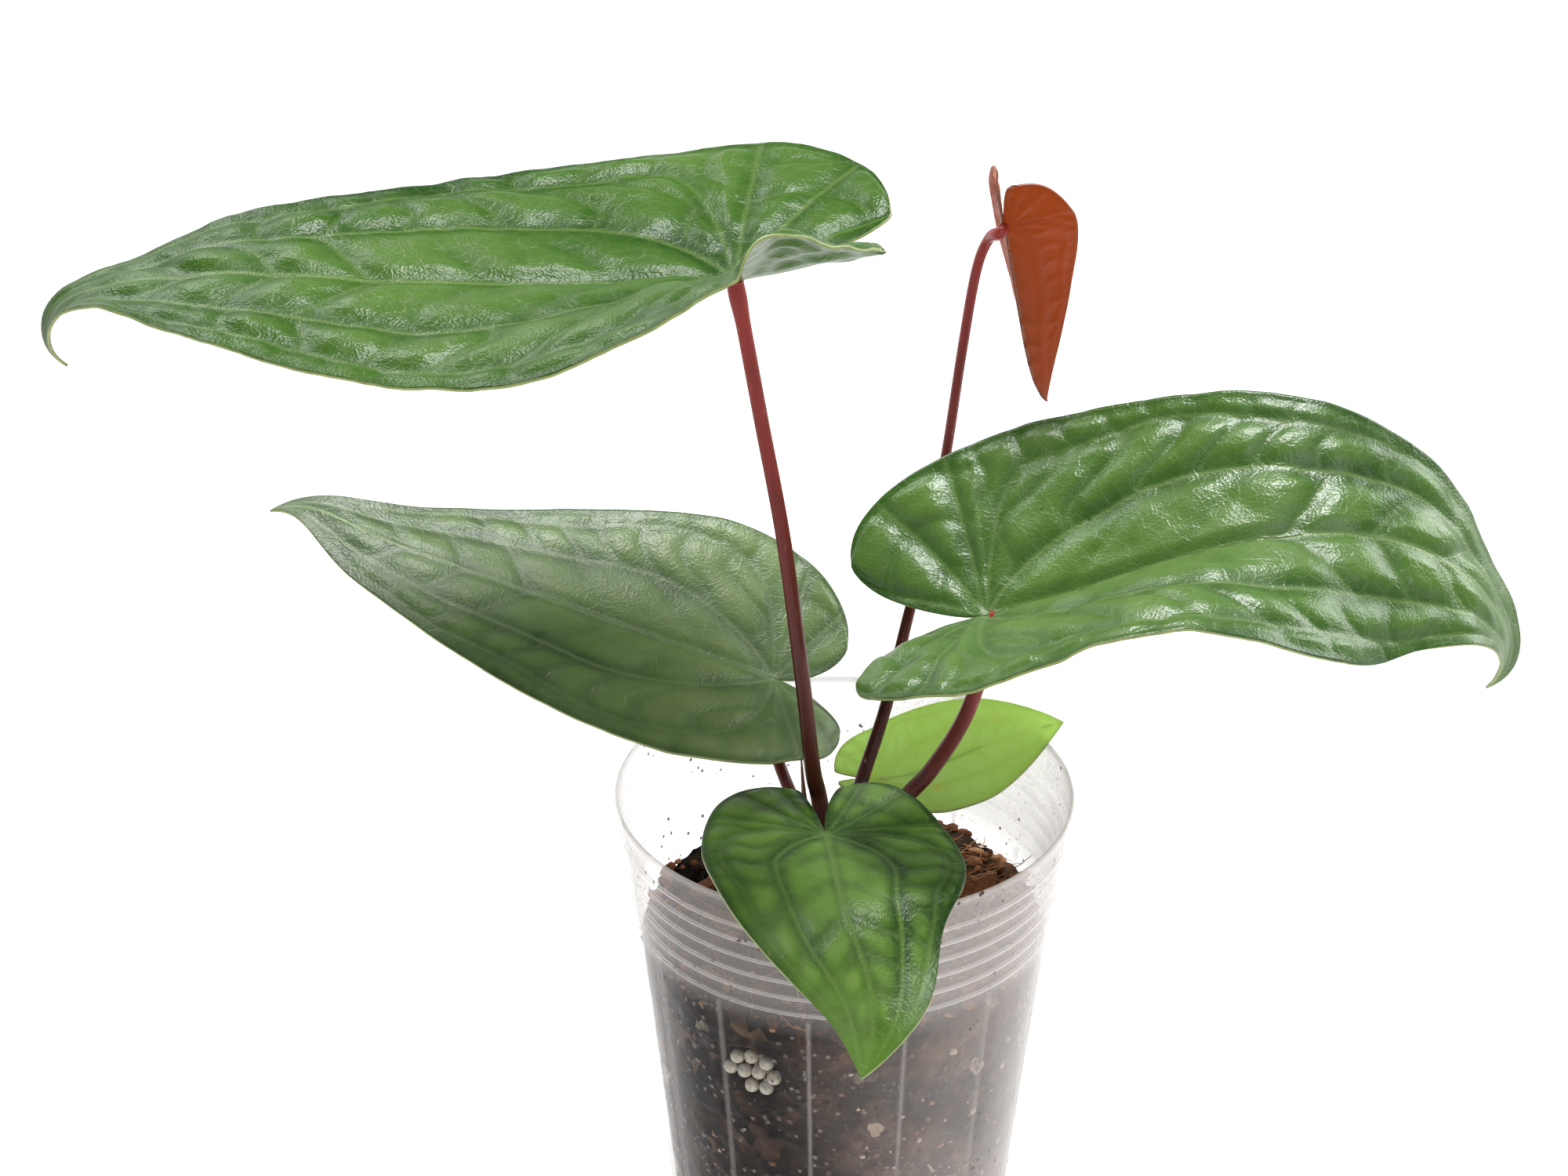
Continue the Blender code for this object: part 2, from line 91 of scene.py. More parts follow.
LEAVES = {
    "leaf_upper_left": dict(
        junction=(-27.5, 4, 279), length=179, lobe=38, half_width=69,
        widest=0.02, lobe_in=(0.29, 0.29), taper=(1.8, 1.08),
        heading=(177, 183, 185, 180, 189, 193),
        pitch=(-10, -4, 3, -4, -39, -145),
        roll=(6, 5, -5, -6, 0, -25),
        fold=(20, 20, 7, 3, 2, 7), droop=(11, 11),
        bulge=2.0, seed=1),
    "leaf_right": dict(
        junction=(35.4, 2, 189), length=164, lobe=32, half_width=52,
        widest=0.14, lobe_in=(0.46, 0.54), taper=(1.7, 0.95),
        heading=(-5, -14, -12, 3, -9, -34),
        pitch=(24, 21, 23, -27, -74, -132),
        roll=(11, 12, 10, 34, 14, 21),
        fold=(26, 27, 24, -2, 4, 18), droop=(-3, 22),
        bulge=2.1, seed=2),
    "leaf_mid_left": dict(
        junction=(-18.7, 28, 156.4), length=144, lobe=19, half_width=44,
        widest=0.17, lobe_in=(0.35, 0.35), taper=(1.4, 1.02),
        heading=(182, 182, 173, 169, 164, 176),
        pitch=(19, 22, 19, 16, 12, -25),
        roll=(-19, -16, -15, -14, -16, -5),
        fold=(16, 17, 8, -3, -5, 7), droop=(12, -3),
        bulge=0.75, seed=3),
    "leaf_front": dict(
        junction=(-5.3, -28, 142.2), length=82, lobe=23, half_width=32.7,
        widest=0.22, lobe_in=(0.18, 0.18), taper=(1.63, 0.99),
        heading=(-90, -84, -85, -72, -104, -114),
        pitch=(4, 6, 4, -38, -36, -33),
        roll=(4, -5, -4, -5, 3, 2),
        fold=(18, 9, 7, 5, 12, 9), droop=(10, 6),
        bulge=0.5, seed=4),
    "leaf_back_right": dict(
        junction=(10.6, 20.7, 129.2), length=52, lobe=13, half_width=17.2,
        widest=0.25, lobe_in=(0.13, 0.13), taper=(1.95, 0.95),
        heading=(16, 10, 4, 2, 2, 2),
        pitch=(-8, -2, 26, 19, 17, 13),
        roll=(20, 20, 34, 45, 43, 38),
        fold=(22, 22, 13, -1, 4, 6), droop=(-8, -8),
        bulge=0.35, seed=5),
    "leaf_new": dict(
        junction=(40.4, 50, 276), length=63, lobe=12, half_width=18.7,
        widest=0.07, lobe_in=(0.19, 0.19), taper=(1.7, 0.98),
        heading=(55, 59, 55, 52, 51, 49),
        pitch=(-55, -68, -70, -67, -53, -42),
        roll=(11, 9, -1, -1, -4, -4),
        fold=(52, 48, 56, 59, 52, 51), droop=(9, 12),
        bulge=0.6, seed=6),
}

PETIOLES = {
    "petiole_upper_left": dict(
        foot=(-5.6, -2.6), radii=(2.6, 1.9),
        via=((-5.3, -4, 128), (-6.9, -6.5, 141), (-8.6, -10.6, 152),
             (-11.2, -10.6, 177), (-16, -7.5, 215), (-21.5, -2, 245),
             (-25.5, 2, 267))),
    "petiole_mid_left": dict(
        foot=(-6, 2.8), radii=(2.2, 1.6),
        via=((-10.5, 4.5, 126), (-15, 7, 136), (-18, 13, 142), (-19.5, 19, 148))),
    "petiole_right": dict(
        foot=(4.3, -2), radii=(2.6, 2.1),
        via=((10, -1, 127), (16, 0.5, 136), (22.5, -0.5, 145), (30, -0.5, 159),
             (34.5, 0.5, 173))),
    "petiole_front": dict(
        foot=(-0.8, -5.6), radii=(2.0, 1.5),
        via=((-1.5, -10.5, 123), (-3.5, -19, 132))),
    "petiole_back_right": dict(
        foot=(3.4, 3.4), radii=(1.7, 1.3),
        via=((5.5, 8, 120), (8.5, 15, 124.5))),
    "petiole_new": dict(
        foot=(-1, 5.2), radii=(2.2, 1.4),
        via=((1.5, 4, 127), (4.8, 4, 140), (11, 13, 156.5), (17.5, 29, 176.5),
             (23.5, 42, 195), (27.5, 51, 213), (31, 55, 240), (34, 55.5, 262),
             (36.8, 53.5, 271.5))),
}
BLADE = 0.7                       # mm


# ---- material tools
class Shader:
    """Small helper that builds one node material around a Principled BSDF."""

    def __init__(self, name):
        self.mat = bpy.data.materials.new(name)
        self.mat.use_nodes = True
        self.tree = self.mat.node_tree
        self.bsdf = self.tree.nodes["Principled BSDF"]
        self.out = self.tree.nodes["Material Output"]
        self._place = None

    def node(self, kind, **values):
        n = self.tree.nodes.new(kind)
        for key, value in values.items():
            if hasattr(n, key):
                setattr(n, key, value)
            else:
                n.inputs[key.replace("_", " ")].default_value = value
        return n

    def link(self, a, b):
        self.tree.links.new(a, b)

    def put(self, socket, value):
        if isinstance(value, bpy.types.NodeSocket):
            self.link(value, socket)
        elif socket.type == "RGBA" and len(value) == 3:
            socket.default_value = tuple(value) + (1,)
        else:
            socket.default_value = value

    def base(self, **values):
        for key, value in values.items():
            self.put(self.bsdf.inputs[key.replace("_", " ")], value)

    def place(self):
        if self._place is None:
            self._place = self.node("ShaderNodeTexCoord").outputs["Object"]
        return self._place

    def noise(self, scale, detail=4.0, rough=0.55, distort=0.0, stretch=None):
        n = self.node("ShaderNodeTexNoise", Scale=scale, Detail=detail,
                      Roughness=rough, Distortion=distort)
        self.link(self.mapped(stretch), n.inputs["Vector"])
        return n.outputs["Fac"]

    def cells(self, scale, feature="F1", output="Distance", rand=1.0,
              stretch=None):
        n = self.node("ShaderNodeTexVoronoi", feature=feature, Scale=scale,
                      Randomness=rand)
        self.link(self.mapped(stretch), n.inputs["Vector"])
        return n.outputs[output]

    def mapped(self, stretch):
        if stretch is None:
            return self.place()
        m = self.node("ShaderNodeMapping")
        m.inputs["Scale"].default_value = stretch
        self.link(self.place(), m.inputs["Vector"])
        return m.outputs["Vector"]

    def attr(self, name):
        return self.node("ShaderNodeAttribute", attribute_name=name).outputs["Fac"]

    def ramp(self, fac, stops, mode="LINEAR"):
        n = self.node("ShaderNodeValToRGB")
        n.color_ramp.interpolation = mode
        while len(n.color_ramp.elements) < len(stops):
            n.color_ramp.elements.new(0.5)
        for el, (pos, col) in zip(n.color_ramp.elements, stops):
            el.position = pos
            if isinstance(col, (int, float)):
                col = (col, col, col)
            el.color = tuple(col) + (1,)
        self.link(fac, n.inputs["Fac"])
        return n.outputs["Color"]

    def mix(self, fac, a, b, mode="MIX"):
        n = self.node("ShaderNodeMix", data_type="RGBA", blend_type=mode)
        self.put(n.inputs[0], fac)
        self.put(n.inputs[6], a)
        self.put(n.inputs[7], b)
        return n.outputs[2]

    def math(self, op, a, b=0.0, clamp=False):
        n = self.node("ShaderNodeMath", operation=op, use_clamp=clamp)
        self.put(n.inputs[0], a)
        self.put(n.inputs[1], b)
        return n.outputs[0]

    def span(self, value, low, high, to_low=0.0, to_high=1.0):
        n = self.node("ShaderNodeMapRange")
        self.put(n.inputs["Value"], value)
        for k, limit in enumerate((low, high, to_low, to_high)):
            n.inputs[1 + k].default_value = limit
        return n.outputs["Result"]

    def bump(self, height, distance, strength=1.0, normal=None):
        n = self.node("ShaderNodeBump", Strength=strength, Distance=distance)
        self.link(height, n.inputs["Height"])
        if normal is not None:
            self.link(normal, n.inputs["Normal"])
        return n.outputs["Normal"]

    def plus(self, a, b):
        return self.math("ADD", a, b)

    def times(self, a, b, clamp=False):
        return self.math("MULTIPLY", a, b, clamp)

    def axes(self):
        """The object's own X, Y and Z at the shaded point, in metres."""
        split = self.node("ShaderNodeSeparateXYZ")
        self.link(self.place(), split.inputs[0])
        return split.outputs

    def blend(self, share, other):
        """Give a second shader its share of the surface."""
        both = self.node("ShaderNodeMixShader")
        self.put(both.inputs[0], share)
        self.link(self.bsdf.outputs[0], both.inputs[1])
        self.link(other.outputs[0], both.inputs[2])
        self.link(both.outputs[0], self.out.inputs["Surface"])

    def thin(self, share, colour):
        """Let part of the light through, as a thin leaf does."""
        glow = self.node("ShaderNodeBsdfTranslucent")
        self.put(glow.inputs["Color"], colour)
        self.blend(share, glow)


def leaf_material(name, dark, mid, light, vein, under, thin_share, thin_colour,
                  rough=(0.33, 0.46), spots=False, gloss=0.32, fade=False):
    """Leathery blade: paler on the quilting and veins, with a fine net; the
    quilting's tone is painted shade, darker in the grooves between panels and near
    the rims.

    spots adds orange specks; fade paints shade on the blade, darker towards its top,
    where the leaves above shade it.
    """
    s = Shader(name)
    veins = s.attr("vein")
    crest_and_shade = s.attr("crest_and_shade")
    broad = s.noise(14, 3, 0.5)
    fine = s.noise(160, 5, 0.6)
    # Painted shade: the crest attribute makes the quilting panels lighter and the
    # grooves between them darker.
    tone = s.plus(s.span(crest_and_shade, 0, 1, 0.0, 0.5),
                  s.span(broad, 0.3, 0.7, -0.05, 0.4))
    tone = s.plus(tone, s.span(fine, 0.3, 0.7, -0.09, 0.09))
    if fade:
        # Painted shade: the blade darkens with height towards its top.
        tone = s.plus(tone, s.span(s.axes()[2], 0.1, 0.142, 0.6, -0.25))
    col = s.ramp(tone, [(0.0, dark), (0.45, mid), (0.95, light)])
    net = s.cells(260, "DISTANCE_TO_EDGE")
    net = s.ramp(net, [(0.0, 1.0), (0.08, 0.0)])
    col = s.mix(s.times(net, 0.12), col, vein)
    col = s.mix(s.times(veins, 0.62, True), col, vein)
    ticks = s.cells(90, stretch=(1, 1.6, 1))
    where = s.span(s.noise(40, 2), 0.55, 0.62)
    ticks = s.times(s.ramp(ticks, [(0.03, 1.0), (0.07, 0.0)]), where)
    col = s.mix(s.times(ticks, 0.7), col, (0.012, 0.016, 0.006))
    if spots:
        dots = s.cells(95)
        where = s.span(s.noise(38, 2), 0.52, 0.6)
        dots = s.times(s.ramp(dots, [(0.1, 1.0), (0.22, 0.0)]), where)
        col = s.mix(dots, col, (0.75, 0.36, 0.06))
    col = s.mix(s.attr("under"), col, under)
    relief = s.bump(s.cells(1300), 0.00014, 0.6)
    relief = s.bump(net, 0.0001, 0.4, relief)
    relief = s.bump(s.noise(75, 4, 0.55), 0.0006, 0.4, relief)
    s.base(Base_Color=col, Normal=relief, Specular_IOR_Level=gloss,
           Roughness=s.span(s.noise(60, 5, 0.6), 0.3, 0.7, rough[0], rough[1]))
    if thin_share:
        s.thin(thin_share, thin_colour)
    return s.mat


def rim_material(name, colour):
    """Thin pale edge of a blade."""
    s = Shader(name)
    tone = s.ramp(s.noise(300, 2), [(0.3, tuple(c * 0.7 for c in colour)),
                                    (0.7, colour)])
    s.base(Base_Color=tone, Roughness=0.45)
    return s.mat


def petiole_material():
    """Dark red stalk: crimson above, nearly black-brown near the crown."""
    s = Shader("petiole")
    height = s.attr("rise")
    streak = s.noise(260, 4, 0.6, 0.4, (1, 1, 0.06))
    fleck = s.cells(520, stretch=(1, 1, 0.35))
    tone = s.plus(height, s.span(streak, 0.3, 0.7, -0.12, 0.12))
    col = s.ramp(tone, [(0.0, (0.026, 0.009, 0.006)), (0.35, (0.075, 0.014, 0.01)),
                        (0.7, (0.17, 0.02, 0.016)), (1.0, (0.32, 0.035, 0.03))])
    pale = s.times(s.ramp(fleck, [(0.08, 1.0), (0.2, 0.0)]),
                  s.span(s.noise(60, 2), 0.45, 0.65, 0, 0.5))
    col = s.mix(pale, col, (0.42, 0.2, 0.15))
    relief = s.bump(streak, 0.0004, 0.4)
    relief = s.bump(s.noise(900, 3), 0.00015, 0.4, relief)
    s.base(Base_Color=col, Normal=relief, Specular_IOR_Level=0.28,
           Roughness=s.span(streak, 0.3, 0.7, 0.3, 0.42))
    return s.mat


def pot_material():
    """Thin clear plastic, milky with moisture and flecked with soil, with painted
    highlight lines along its ring steps, ribs and rim.
    """
    s = Shader("pot_plastic")
    haze = s.noise(26, 6, 0.65, 0.4)
    cloud = s.noise(11, 3, 0.5)
    drops = s.ramp(s.cells(560), [(0.1, 1.0), (0.3, 0.0)])
    beads = s.times(drops, s.span(s.noise(50, 3), 0.48, 0.62))
    dirt = s.cells(300)
    few = s.span(s.noise(70, 3, 0.6), 0.5, 0.56)
    dirt = s.times(s.ramp(dirt, [(0.12, 1.0), (0.2, 0.0)]), few)
    smear = s.times(s.span(s.noise(30, 5, 0.7, 0.6), 0.55, 0.75),
                   s.span(s.noise(160, 4, 0.6), 0.45, 0.65))
    edge = s.node("ShaderNodeLayerWeight", Blend=0.3).outputs["Facing"]
    x, y, z = s.axes()
    milk_and_highlights = s.plus(s.span(haze, 0.3, 0.7, 0.0, 0.035),
                  s.span(x, -0.02, 0.04, 0.0, 0.17))
    milk_and_highlights = s.plus(milk_and_highlights, s.span(cloud, 0.45, 0.65, 0.0, 0.06))
    milk_and_highlights = s.plus(milk_and_highlights, s.times(beads, 0.25))
    milk_and_highlights = s.times(milk_and_highlights, s.span(x, -0.025, 0.025, 0.06, 1.0))
    milk_and_highlights = s.plus(milk_and_highlights, s.span(z, MIX_EDGE_HEIGHT + MM, MIX_EDGE_HEIGHT + 13 * MM,
                               0.0, 0.16))
    milk_and_highlights = s.plus(milk_and_highlights, s.span(edge, 0.38, 1.0, 0.0, 0.36))
    # Painted highlights: pale lines along the ring steps, stronger on the front.
    step = s.times(s.math("SUBTRACT", z, LOWEST_RING - 0.1 * MM), 1 / RING_PITCH)
    lines = s.ramp(s.math("FRACT", step), [(0.0, 1.0), (0.12, 0.5), (0.26, 0.0)])
    lines = s.times(lines, s.math("GREATER_THAN", z, LOWEST_RING - 0.5 * MM))
    lines = s.times(lines, s.math("LESS_THAN", z, BAND_BOTTOM + 1.5 * MM))
    milk_and_highlights = s.plus(milk_and_highlights, s.times(lines, s.span(y, 0.0, 0.03, 0.3, 0.08)))
    # Painted highlights: milky lines along the ribs.
    turn = s.math("SUBTRACT", s.math("ARCTAN2", y, x), RIB_PHASE)
    turn = s.times(turn, RIBS / (2 * math.pi))
    off = s.math("ABSOLUTE", s.math("SUBTRACT", turn, s.math("ROUND", turn)))
    rib_highlights = s.ramp(off, [(0.0, 1.0), (0.016, 0.6), (0.035, 0.0)])
    rib_highlights = s.times(rib_highlights, s.math("LESS_THAN", z, LOWEST_RING - 2 * MM))
    milk_and_highlights = s.plus(milk_and_highlights, s.times(rib_highlights, 0.16))
    # Painted highlight: a milky band along the rim.
    milk_and_highlights = s.plus(milk_and_highlights, s.span(z, POT_HEIGHT - 2.5 * MM, POT_HEIGHT - 0.8 * MM,
                               0.0, 0.25))
    cover = s.math("MAXIMUM", milk_and_highlights, s.times(dirt, 0.95), True)
    cover = s.math("MAXIMUM", cover, s.times(smear, 0.35), True)
    col = s.mix(smear, (0.68, 0.62, 0.59), (0.2, 0.12, 0.08))
    # The ring lines take a near-white painted highlight colour.
    col = s.mix(lines, col, (0.95, 0.92, 0.9))
    col = s.mix(dirt, col, (0.07, 0.035, 0.02))
    relief = s.bump(drops, 0.0003, 0.3)
    relief = s.bump(haze, 0.001, 0.2, relief)
    s.base(Base_Color=col, Alpha=cover, Normal=relief, Roughness=0.25,
           Specular_IOR_Level=0.3)
    shine = s.node("ShaderNodeBsdfAnisotropic", Roughness=0.12)
    s.link(relief, shine.inputs["Normal"])
    s.blend(s.plus(s.times(s.math("POWER", edge, 3.0), 0.45), 0.004), shine)
    return s.mat


def mix_material():
    """Damp bark and coir: dark crumbs with brown, grey and pale bits."""
    s = Shader("potting_mix")
    crumbs = s.node("ShaderNodeTexVoronoi", feature="F1", Scale=230.0)
    warp = s.noise(90, 3)
    s.link(s.place(), crumbs.inputs["Vector"])
    pick = s.node("ShaderNodeSeparateColor")
    s.link(crumbs.outputs["Color"], pick.inputs[0])
    col = s.ramp(pick.outputs[0], [
        (0.0, (0.004, 0.003, 0.002)), (0.35, (0.010, 0.006, 0.004)),
        (0.6, (0.024, 0.012, 0.007)), (0.8, (0.055, 0.026, 0.014)),
        (0.93, (0.13, 0.085, 0.055)), (0.985, (0.42, 0.35, 0.27))], "CONSTANT")
    patch = s.span(s.noise(24, 5, 0.65), 0.42, 0.62)
    right = s.span(s.axes()[0], -0.015, 0.03, 0.02, 0.8)
    col = s.mix(s.times(patch, right), col, (0.26, 0.14, 0.09))
    col = s.mix(s.span(warp, 0.35, 0.6, 0.8, 0.0), col, (0.006, 0.004, 0.003))
    relief = s.bump(crumbs.outputs["Distance"], 0.0016, 0.9)
    relief = s.bump(s.noise(800, 4), 0.0004, 0.7, relief)
    s.base(Base_Color=col, Normal=relief, Specular_IOR_Level=0.12,
           Roughness=s.span(pick.outputs[1], 0, 1, 0.55, 0.95))
    return s.mat


def crumb_material(name, stops, rough=0.85):
    """Bark crumbs or coir: each bit takes its own tone from an attribute."""
    s = Shader(name)
    tone = s.plus(s.attr("tone"), s.span(s.noise(700, 4, 0.6), 0.3, 0.7,
                                                -0.15, 0.15))
    col = s.ramp(tone, stops)
    relief = s.bump(s.noise(900, 4, 0.65, 0.3, (1, 1, 0.4)), 0.0006, 0.8)
    s.base(Base_Color=col, Normal=relief, Roughness=rough,
           Specular_IOR_Level=0.15)
    return s.mat


def pellet_material():
    s = Shader("fertiliser_pellet")
    speck = s.noise(900, 3, 0.6)
    col = s.ramp(speck, [(0.3, (0.3, 0.26, 0.2)), (0.55, (0.5, 0.46, 0.38)),
                         (0.8, (0.62, 0.59, 0.52))])
    s.base(Base_Color=col, Roughness=0.38, Normal=s.bump(speck, 0.0002, 0.4),
           Subsurface_Weight=0.15, Subsurface_Scale=0.001)
    return s.mat


def sheath_material():
    s = Shader("dry_sheath")
    streak = s.noise(420, 5, 0.65, 0.2, (1, 1, 0.08))
    col = s.ramp(streak, [(0.25, (0.05, 0.018, 0.01)), (0.5, (0.16, 0.07, 0.035)),
                          (0.78, (0.32, 0.19, 0.1))])
    s.base(Base_Color=col, Roughness=0.7, Normal=s.bump(streak, 0.0008, 0.8))
    return s.mat


def floor_material():
    """White sweep that glows a little, as a lit backdrop does."""
    s = Shader("floor")
    tone = s.ramp(s.noise(3, 2), [(0.3, (0.4, 0.4, 0.4)), (0.7, (0.44, 0.44, 0.44))])
    s.base(Base_Color=tone, Roughness=0.9, Specular_IOR_Level=0.1,
           Emission_Color=(1.0, 1.0, 1.0), Emission_Strength=1.0)
    return s.mat


# ---- mesh tools
def new_piece(name, mesh, mats, nodes=(), smooth=True):
    ob = bpy.data.objects.new(name, mesh)
    SCENE.collection.objects.link(ob)
    for mat in mats:
        mesh.materials.append(mat)
    for poly in mesh.polygons:
        poly.use_smooth = smooth
    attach(ob, "root")
    if nodes:
        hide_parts(*nodes)
    return ob


def mesh_of(name, verts, faces, attrs=None):
    mesh = bpy.data.meshes.new(name)
    mesh.from_pydata([tuple(map(float, v)) for v in verts], [], faces)
    for key, values in (attrs or {}).items():
        layer = mesh.attributes.new(key, "FLOAT", "POINT")
        layer.data.foreach_set("value", np.array(values, np.float32))
    mesh.update()
    return mesh


def mesh_from(bm, name):
    mesh = bpy.data.meshes.new(name)
    bm.to_mesh(mesh)
    bm.free()
    return mesh


def weld(mesh, distance):
    bm = bmesh.new()
    bm.from_mesh(mesh)
    bmesh.ops.remove_doubles(bm, verts=bm.verts, dist=distance)
    bmesh.ops.dissolve_degenerate(bm, edges=bm.edges, dist=distance * 0.5)
    bmesh.ops.recalc_face_normals(bm, faces=bm.faces)
    bm.to_mesh(mesh)
    bm.free()


def smooth_path(points, per_span=8):
    pts = [np.array(p, float) for p in points]
    pts = [2 * pts[0] - pts[1]] + pts + [2 * pts[-1] - pts[-2]]
    out = []
    for i in range(1, len(pts) - 2):
        a, b, c, d = pts[i - 1:i + 3]
        for t in np.linspace(0, 1, per_span, endpoint=False):
            out.append(0.5 * (2 * b + (c - a) * t
                              + (2 * a - 5 * b + 4 * c - d) * t ** 2
                              + (3 * b - a - 3 * c + d) * t ** 3))
    out.append(pts[-2])
    return np.array(out)


def tube_faces(rows, sides):
    """Quads between stacked rings, with a face on each end."""
    faces = []
    for j in range(rows - 1):
        for k in range(sides):
            a, b = j * sides + k, j * sides + (k + 1) % sides
            faces.append((a, b, b + sides, a + sides))
    faces.append(tuple(range(sides))[::-1])
    faces.append(tuple((rows - 1) * sides + k for k in range(sides)))
    return faces


def polar(r, a, z):
    return r * math.cos(a), r * math.sin(a), z


def rod(path, radii, sides=16, shape=None):
    """Closed tube along a path: vertices, faces, and share along it."""
    path = np.array(path, float)
    tangent = np.gradient(path, axis=0)
    tangent /= np.linalg.norm(tangent, axis=1)[:, None]
    ref = np.array((0.0, 1.0, 0.0)) if abs(tangent[0][1]) < 0.9 else \
        np.array((1.0, 0.0, 0.0))
    verts, share = [], []
    n = len(path)
    for i in range(n):
        ref = ref - tangent[i] * ref.dot(tangent[i])
        ref /= np.linalg.norm(ref)
        other = np.cross(tangent[i], ref)
        for k in range(sides):
            a = 2 * math.pi * k / sides
            r = radii[i] * (shape(a, i / (n - 1)) if shape else 1.0)
            verts.append(path[i] + (ref * math.cos(a) + other * math.sin(a)) * r)
            share.append(i / (n - 1))
    return verts, tube_faces(n, sides), share


# ---- blades
def along(values, t):
    v = np.array(values, float)
    s = np.array(STATIONS)
    slope = np.gradient(v, s)
    i = np.clip(np.searchsorted(s, t) - 1, 0, len(s) - 2)
    h = s[i + 1] - s[i]
    u = np.clip((t - s[i]) / h, 0, 1)
    return ((2 * u ** 3 - 3 * u ** 2 + 1) * v[i]
            + (u ** 3 - 2 * u ** 2 + u) * h * slope[i]
            + (3 * u ** 2 - 2 * u ** 3) * v[i + 1]
            + (u ** 3 - u ** 2) * h * slope[i + 1])


def blade_outline(leaf, x, side):
    length, lobe, width = leaf["length"], leaf["lobe"], leaf["half_width"]
    widest = leaf["widest"] * length
    end = leaf["lobe_in"][0 if side > 0 else 1] * width
    a, b = leaf["taper"]
    back = np.clip((widest - x) / (widest + lobe), 0, 1)
    fore = np.clip((x - widest) / (length - widest), 0, 1)
    outer = np.where(x < widest,
                     end + (width - end) * (1 - back ** 2.1) ** (1 / 2.1),
                     width * (1 - fore ** a) ** b)
    inward = np.clip(-x / lobe, 0, 1)
    inner = end * (1 - (1 - inward ** 1.6) ** (1 / 1.6))
    return inner, outer


def midrib_frame(leaf, x):
    length, lobe = leaf["length"], leaf["lobe"]
    fine = np.concatenate([np.linspace(-lobe, 0, 40)[:-1],
                           np.linspace(0, length, 120)])

    def axes(at):
        t = np.where(at < 0, at / lobe, at / length)
        h = np.radians(along(leaf["heading"], t))
        p = np.radians(along(leaf["pitch"], t))
        run = np.stack([np.cos(p) * np.cos(h), np.cos(p) * np.sin(h),
                        np.sin(p)], 1)
        up = np.stack([-np.sin(p) * np.cos(h), -np.sin(p) * np.sin(h),
                       np.cos(p)], 1)
        return run, up

    run, _ = axes(fine)
    step = (run[1:] + run[:-1]) / 2 * np.diff(fine)[:, None]
    track = np.concatenate([[[0, 0, 0]], np.cumsum(step, 0)])
    track = track - track[39] + np.array(leaf["junction"], float)
    point = np.stack([np.interp(x, fine, track[:, k]) for k in range(3)], 1)
    run, up = axes(x)
    return point, run, up, np.cross(up, run)


def bent(leaf, x, y, side):
    """Flat blade points in space, with the surface's upward normal there."""
    point, _, up, left = midrib_frame(leaf, x)
    t = np.where(x < 0, x / leaf["lobe"], x / leaf["length"])
    angle = np.radians(along(leaf["fold"], t) + side * along(leaf["roll"], t))
    droop = leaf["droop"][0 if side > 0 else 1]
    curl = -math.radians(droop) / leaf["half_width"]
    out = (np.sin(angle + curl * y) - np.sin(angle)) / curl
    rise = (np.cos(angle) - np.cos(angle + curl * y)) / curl
    place = point + left * (side * out)[:, None] + up * rise[:, None]
    turn = angle + curl * y
    normal = up * np.cos(turn)[:, None] - left * (side * np.sin(turn))[:, None]
    return place, normal


def soft_noise(points, scale, seed):
    """Smooth noise in -1..1 at points in millimetres."""
    shift = Vector((seed * 17.3, seed * 5.1, seed * 9.7))
    return np.array([noise.noise(Vector(p) * scale + shift) for p in points])


def vein_gaps(leaf, x, y, outer):
    """Distance in mm to each vein on one half, with its strength and width."""
    length, seed = leaf["length"], leaf["seed"]
    scale = np.clip(leaf["half_width"] / 60, 0.3, 1.1)
    u = np.clip(x / length, 0, 1)
    fore, back = x >= 0, x < 0
    wave = 1 + 0.04 * np.sin(17 * u + seed)
    inner_arch = 0.5 * outer * (1 - np.exp(-u / 0.12)) * wave
    outer_arch = 0.84 * outer * (1 - np.exp(-u / 0.035)) * wave

    def to_curve(line):
        return np.abs(y - line) / np.sqrt(1 + np.gradient(line, x) ** 2)

    def to_tie(count, pitch):
        return np.abs(count - np.round(count)) * pitch

    far = 99.0                    # mm, for a vein that isn't on this stretch
    veins = [(np.where(fore, to_curve(inner_arch), far), 0.95, 4.6 * scale),
             (np.where(fore, to_curve(outer_arch), far), 0.8, 3.6 * scale)]
    fan = np.arctan2(-np.minimum(x, 0), y + 1e-3)
    radius = np.hypot(np.minimum(x, 0), y)
    for turn in (6, 34, 62):
        turn = math.radians(turn + 3 * math.sin(seed + turn))
        off = radius * np.abs(np.sin(fan - turn))
        veins.append((np.where(back, off, far), 0.85, 3.8 * scale))
    for at in (0.14, 0.31, 0.47, 0.6, 0.73, 0.85):
        off = np.abs(x - 0.95 * y - at * length + 1.2 * np.sin(0.2 * y + at * 9))
        off = np.where((y < inner_arch) & fore, off / 1.38, far)
        veins.append((off, 0.3 if at < 0.4 else 0.7, 3.4 * scale))
    spacing = 19 * scale
    wobble = 0.22 * np.sin(0.21 * y / scale + seed) + 0.2 * np.sin(9 * u + seed)
    tie = (x - 0.5 * y) / spacing + wobble
    off = to_tie(tie, spacing) / 1.12
    between = (y > inner_arch) & (y < outer_arch) & fore
    veins.append((np.where(between, off, far), 0.62, 3.2 * scale))
    tie = (x - 0.2 * y) / (0.7 * spacing) + wobble + 0.4
    off = np.where((y > outer_arch) & fore, to_tie(tie, 0.7 * spacing), far)
    veins.append((off, 0.5, 2.4 * scale))
    tie = radius / (0.9 * spacing) + 0.15 * np.sin(5 * fan + seed)
    off = np.where(back & (radius > 0.6 * spacing), to_tie(tie, 0.9 * spacing), far)
    veins.append((off, 0.5, 2.8 * scale))
    return veins


